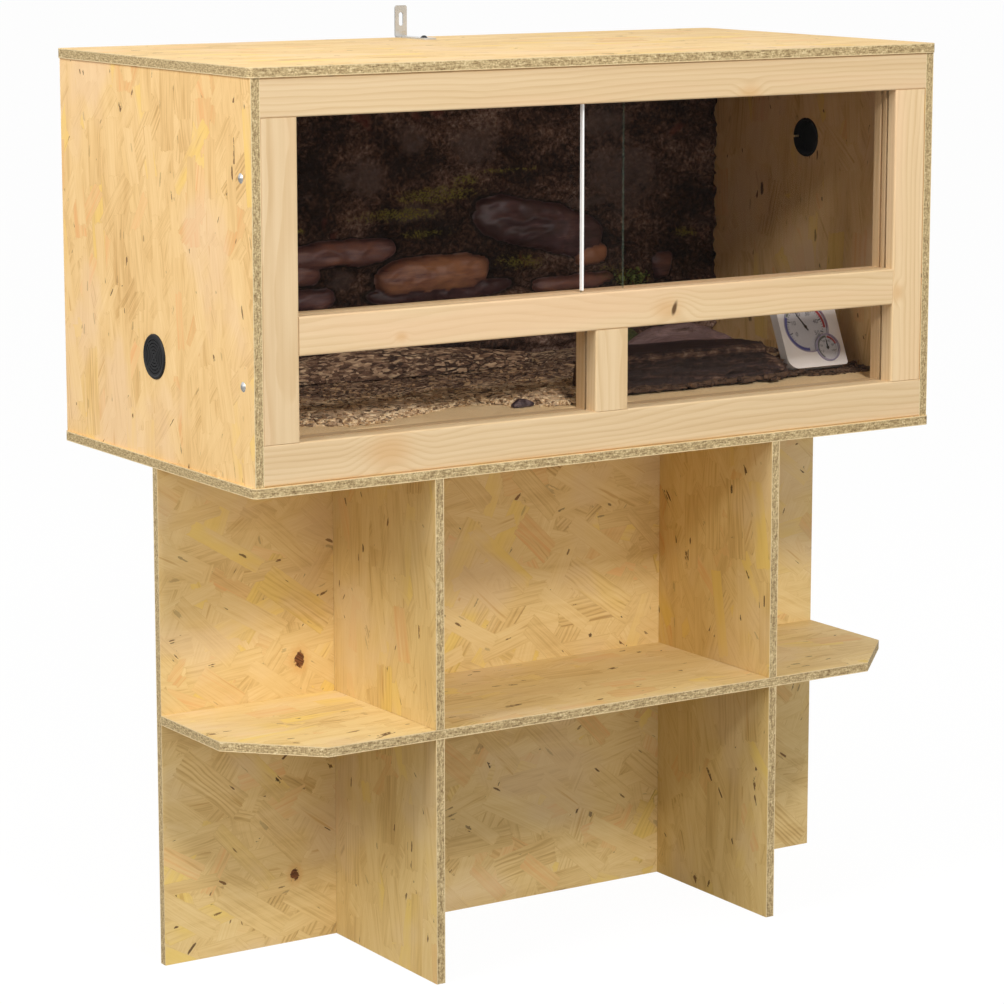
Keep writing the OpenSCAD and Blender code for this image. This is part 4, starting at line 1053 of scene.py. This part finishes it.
def leaf_finish():
    finish, wire, place = start_finish("leaf")
    tone = wire.attribute("tone")
    vein = wire.grain(place, scale=500.0)
    colour = wire.tint((0.05, 0.075, 0.018), (0.34, 0.44, 0.12), tone * 0.8 + vein * 0.3)
    end_finish(wire, colour, 0.55 + (vein - 0.5) * 0.2, vein, 0.0003, 0.5)
    return finish


def leaf_tuft(x, height, half_wide, half_high):
    """Small plastic leaves pressed into the backdrop's earth (millimetres over the floor board)."""
    luck = random.Random(7)
    low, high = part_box("backdrop")
    leaves = []
    for k in range(110):
        turn, far = luck.uniform(0, math.tau), luck.random() ** 0.6
        along, up = x + math.cos(turn) * far * half_wide, height + math.sin(turn) * far * half_high
        spot = Vector((along * mm, low[Y] + luck.uniform(0.003, 0.020), low[Z] + up * mm))
        long = luck.uniform(0.004, 0.009)
        leaves.append((spot, long, long * 0.5, 0.0005, luck.uniform(0, math.tau), luck.uniform(-1.2, 1.2),
                       luck.random()))
    scatter("leaf_tuft", leaf_finish(), leaves)


leaf_tuft(341, 144, 30, 14)


def pebble_finish():
    finish, wire, place = start_finish("pebble")
    vein = wire.grain(place, scale=120.0, detail=4.0, rough=0.6, warp=1.0)
    colour = wire.tint((0.035, 0.022, 0.030), (0.17, 0.125, 0.135), vein.step(0.4, 0.75))
    end_finish(wire, colour, 0.45 + vein * 0.2, vein, 0.0004, 0.5)
    return finish


def pebble_shape(place, height):
    return lumps(place, 0.012, 2) * 0.0004 - 0.0003


over_node("stone", "pebble", pebble_finish(), 0.0011, pebble_shape, 4)

# ---- Gauge ----------------------------------------------------------------------------------
# A white moulded case leant back on its strut, with a large temperature dial and a small humidity
# dial in a raised ring. Scales are printed on card under clear lenses. The pointers are steel.


gauge_joints = {joint["name"]: joint for joint in frame["joints"]}
# joint of the pointer, radius of the card (metres), and bands of ink: inner and outer radius as shares
# of the card's, first and last angle (degrees, clockwise from the top)
blue, red, green = (0.13, 0.15, 0.46), (0.60, 0.07, 0.09), (0.22, 0.27, 0.22)
dials = [
    ("temperature_pointer_turn", 0.034, [
        (blue, 0.85, 0.97, -178, -62), (green, 0.86, 0.95, -60, -4), (red, 0.85, 0.96, 14, 96)]),
    ("humidity_pointer_turn", 0.017, [(green, 0.80, 0.96, -150, 4), (red, 0.78, 0.95, 10, 74)]),
]


def dial_axes(joint):
    """Middle, direction to the right and direction up of a dial."""
    middle = Vector(joint["pos_m"])
    out = Vector(joint["axis"]).normalized()
    right = Vector((1, 0, 0))
    return middle, right, out.cross(right)


def dial_polar(wire, place, joint, radius):
    """Distance from a dial's middle as a share of its radius, and the angle clockwise from the top."""
    middle, right, up = dial_axes(joint)
    away = wire.node("VectorMath", {0: place, 1: tuple(middle)}, operation="SUBTRACT")
    a = wire.node("VectorMath", {0: away, 1: tuple(right)}, out="Value", operation="DOT_PRODUCT")
    b = wire.node("VectorMath", {0: away, 1: tuple(up)}, out="Value", operation="DOT_PRODUCT")
    return ((a * a + b * b) ** 0.5) / radius, wire.math("ARCTAN2", a, b) * (180.0 / math.pi)


def gauge_plastic():
    """White plastic with a violet pad print round each dial."""
    finish, wire, place = start_finish("gauge_plastic")
    peel = wire.grain(place, scale=900.0)
    soil = wire.grain(place, scale=30.0, detail=3.0)
    colour = wire.tint((0.80, 0.79, 0.79), (0.92, 0.92, 0.93), soil)
    for (name, radius, bands), width in zip(dials, (0.045, 0.11)):
        r, angle = dial_polar(wire, place, gauge_joints[name], radius)
        ring = r.step(0.99, 1.0) * r.step(1.01 + width, 1.0 + width)
        colour = wire.tint(colour, (0.17, 0.14, 0.30), ring * 0.75)
    end_finish(wire, colour, 0.38 + (soil - 0.5) * 0.2, peel, 0.0001, 0.4)
    dress(finish, "gauge_case")


def dial_card():
    finish, wire, place = start_finish("dial_card")
    fibre = wire.grain(place, scale=800.0)
    colour = wire.tint((0.82, 0.82, 0.83), (0.90, 0.90, 0.91), fibre)
    for name, radius, bands in dials:
        r, angle = dial_polar(wire, place, gauge_joints[name], radius)
        on_dial = r.step(1.0, 0.98)
        for ink, inner, outer, first, last in bands:
            ring = r.step(inner - 0.01, inner + 0.01) * r.step(outer + 0.01, outer - 0.01)
            arc = angle.step(first - 0.5, first + 0.5) * angle.step(last + 0.5, last - 0.5)
            colour = wire.tint(colour, ink, ring * arc * on_dial)
        for count, inner, width in ((50, 0.78, 0.16), (10, 0.70, 0.06)):
            turn = wire.math("FRACT", (angle + 360.0) * (count / 360.0) + 0.5)
            near = abs(turn - 0.5).step(width, width * 0.5)
            ring = r.step(inner - 0.01, inner + 0.01) * r.step(0.85, 0.83)
            colour = wire.tint(colour, (0.05, 0.05, 0.08), near * ring * abs(angle).step(137.0, 135.0))
    end_finish(wire, colour, 0.6 + (fibre - 0.5) * 0.1, fibre, 0.00005, 0.3)
    dress(finish, "gauge_dials")


def dial_figures():
    """Plain figures printed inside each scale, and a hair over its card."""
    finish = speckled("dial_ink", (0.03, 0.03, 0.05), (0.12, 0.12, 0.15), 1200.0, 0.6, 0.2, detail=2.0)
    card = frame["nodes"]["gauge_dials"].data
    tree = BVHTree.FromPolygons([v.co for v in card.vertices], [p.vertices[:] for p in card.polygons])
    for (name, radius, bands), last in zip(dials, (50, 100)):
        middle, right, up = dial_axes(gauge_joints[name])
        out = right.cross(up)
        bm = bmesh.new()
        for k in range(6):
            figure = bpy.data.curves.new(name + str(k), "FONT")
            figure.body = str(round(last * k / 5))
            figure.size = radius * 0.24
            figure.align_x = "CENTER"
            figure.align_y = "CENTER"
            text = bpy.data.objects.new(name + str(k), figure)
            flat = bpy.data.meshes.new_from_object(text)
            bpy.data.objects.remove(text)
            turn = math.radians(-120 + 240 * k / 5)
            spot = middle + (right * math.sin(turn) + up * math.cos(turn)) * radius * 0.56
            hit = tree.ray_cast(spot + out * 0.01, -out)[0]
            turned = Matrix((right, up, out)).transposed().to_4x4()
            flat.transform(Matrix.Translation(hit + out * 0.00004) @ turned)
            bm.from_mesh(flat)
        put_piece(name.replace("pointer_turn", "figures"), bm, finish)


def clear_lens():
    finish, wire, place = start_finish("clear_lens")
    scuff = wire.grain(place, scale=90.0, detail=3.0)
    clear = wire.node("BsdfTransparent", {"Color": (0.96, 0.96, 0.97)})
    gloss = wire.node("BsdfGlossy", {"Color": (1.0, 1.0, 1.0), "Roughness": 0.05})
    fresnel = wire.node("Fresnel", {"IOR": 1.4})
    shader = wire.node("MixShader", {0: fresnel * (0.5 + scuff * 0.3), 1: clear, 2: gloss})
    wire.node("OutputMaterial", {"Surface": shader})
    dress(finish, "gauge_lenses")


gauge_plastic()
dial_card()
dial_figures()
clear_lens()
steel = speckled("pointer_steel", (0.012, 0.012, 0.014), (0.04, 0.04, 0.045), 1500.0, 0.4, 0.2, 0.00003, 0.3,
                 detail=2.0, Metallic=0.3)
dress(steel, "temperature_needle", "humidity_needle")
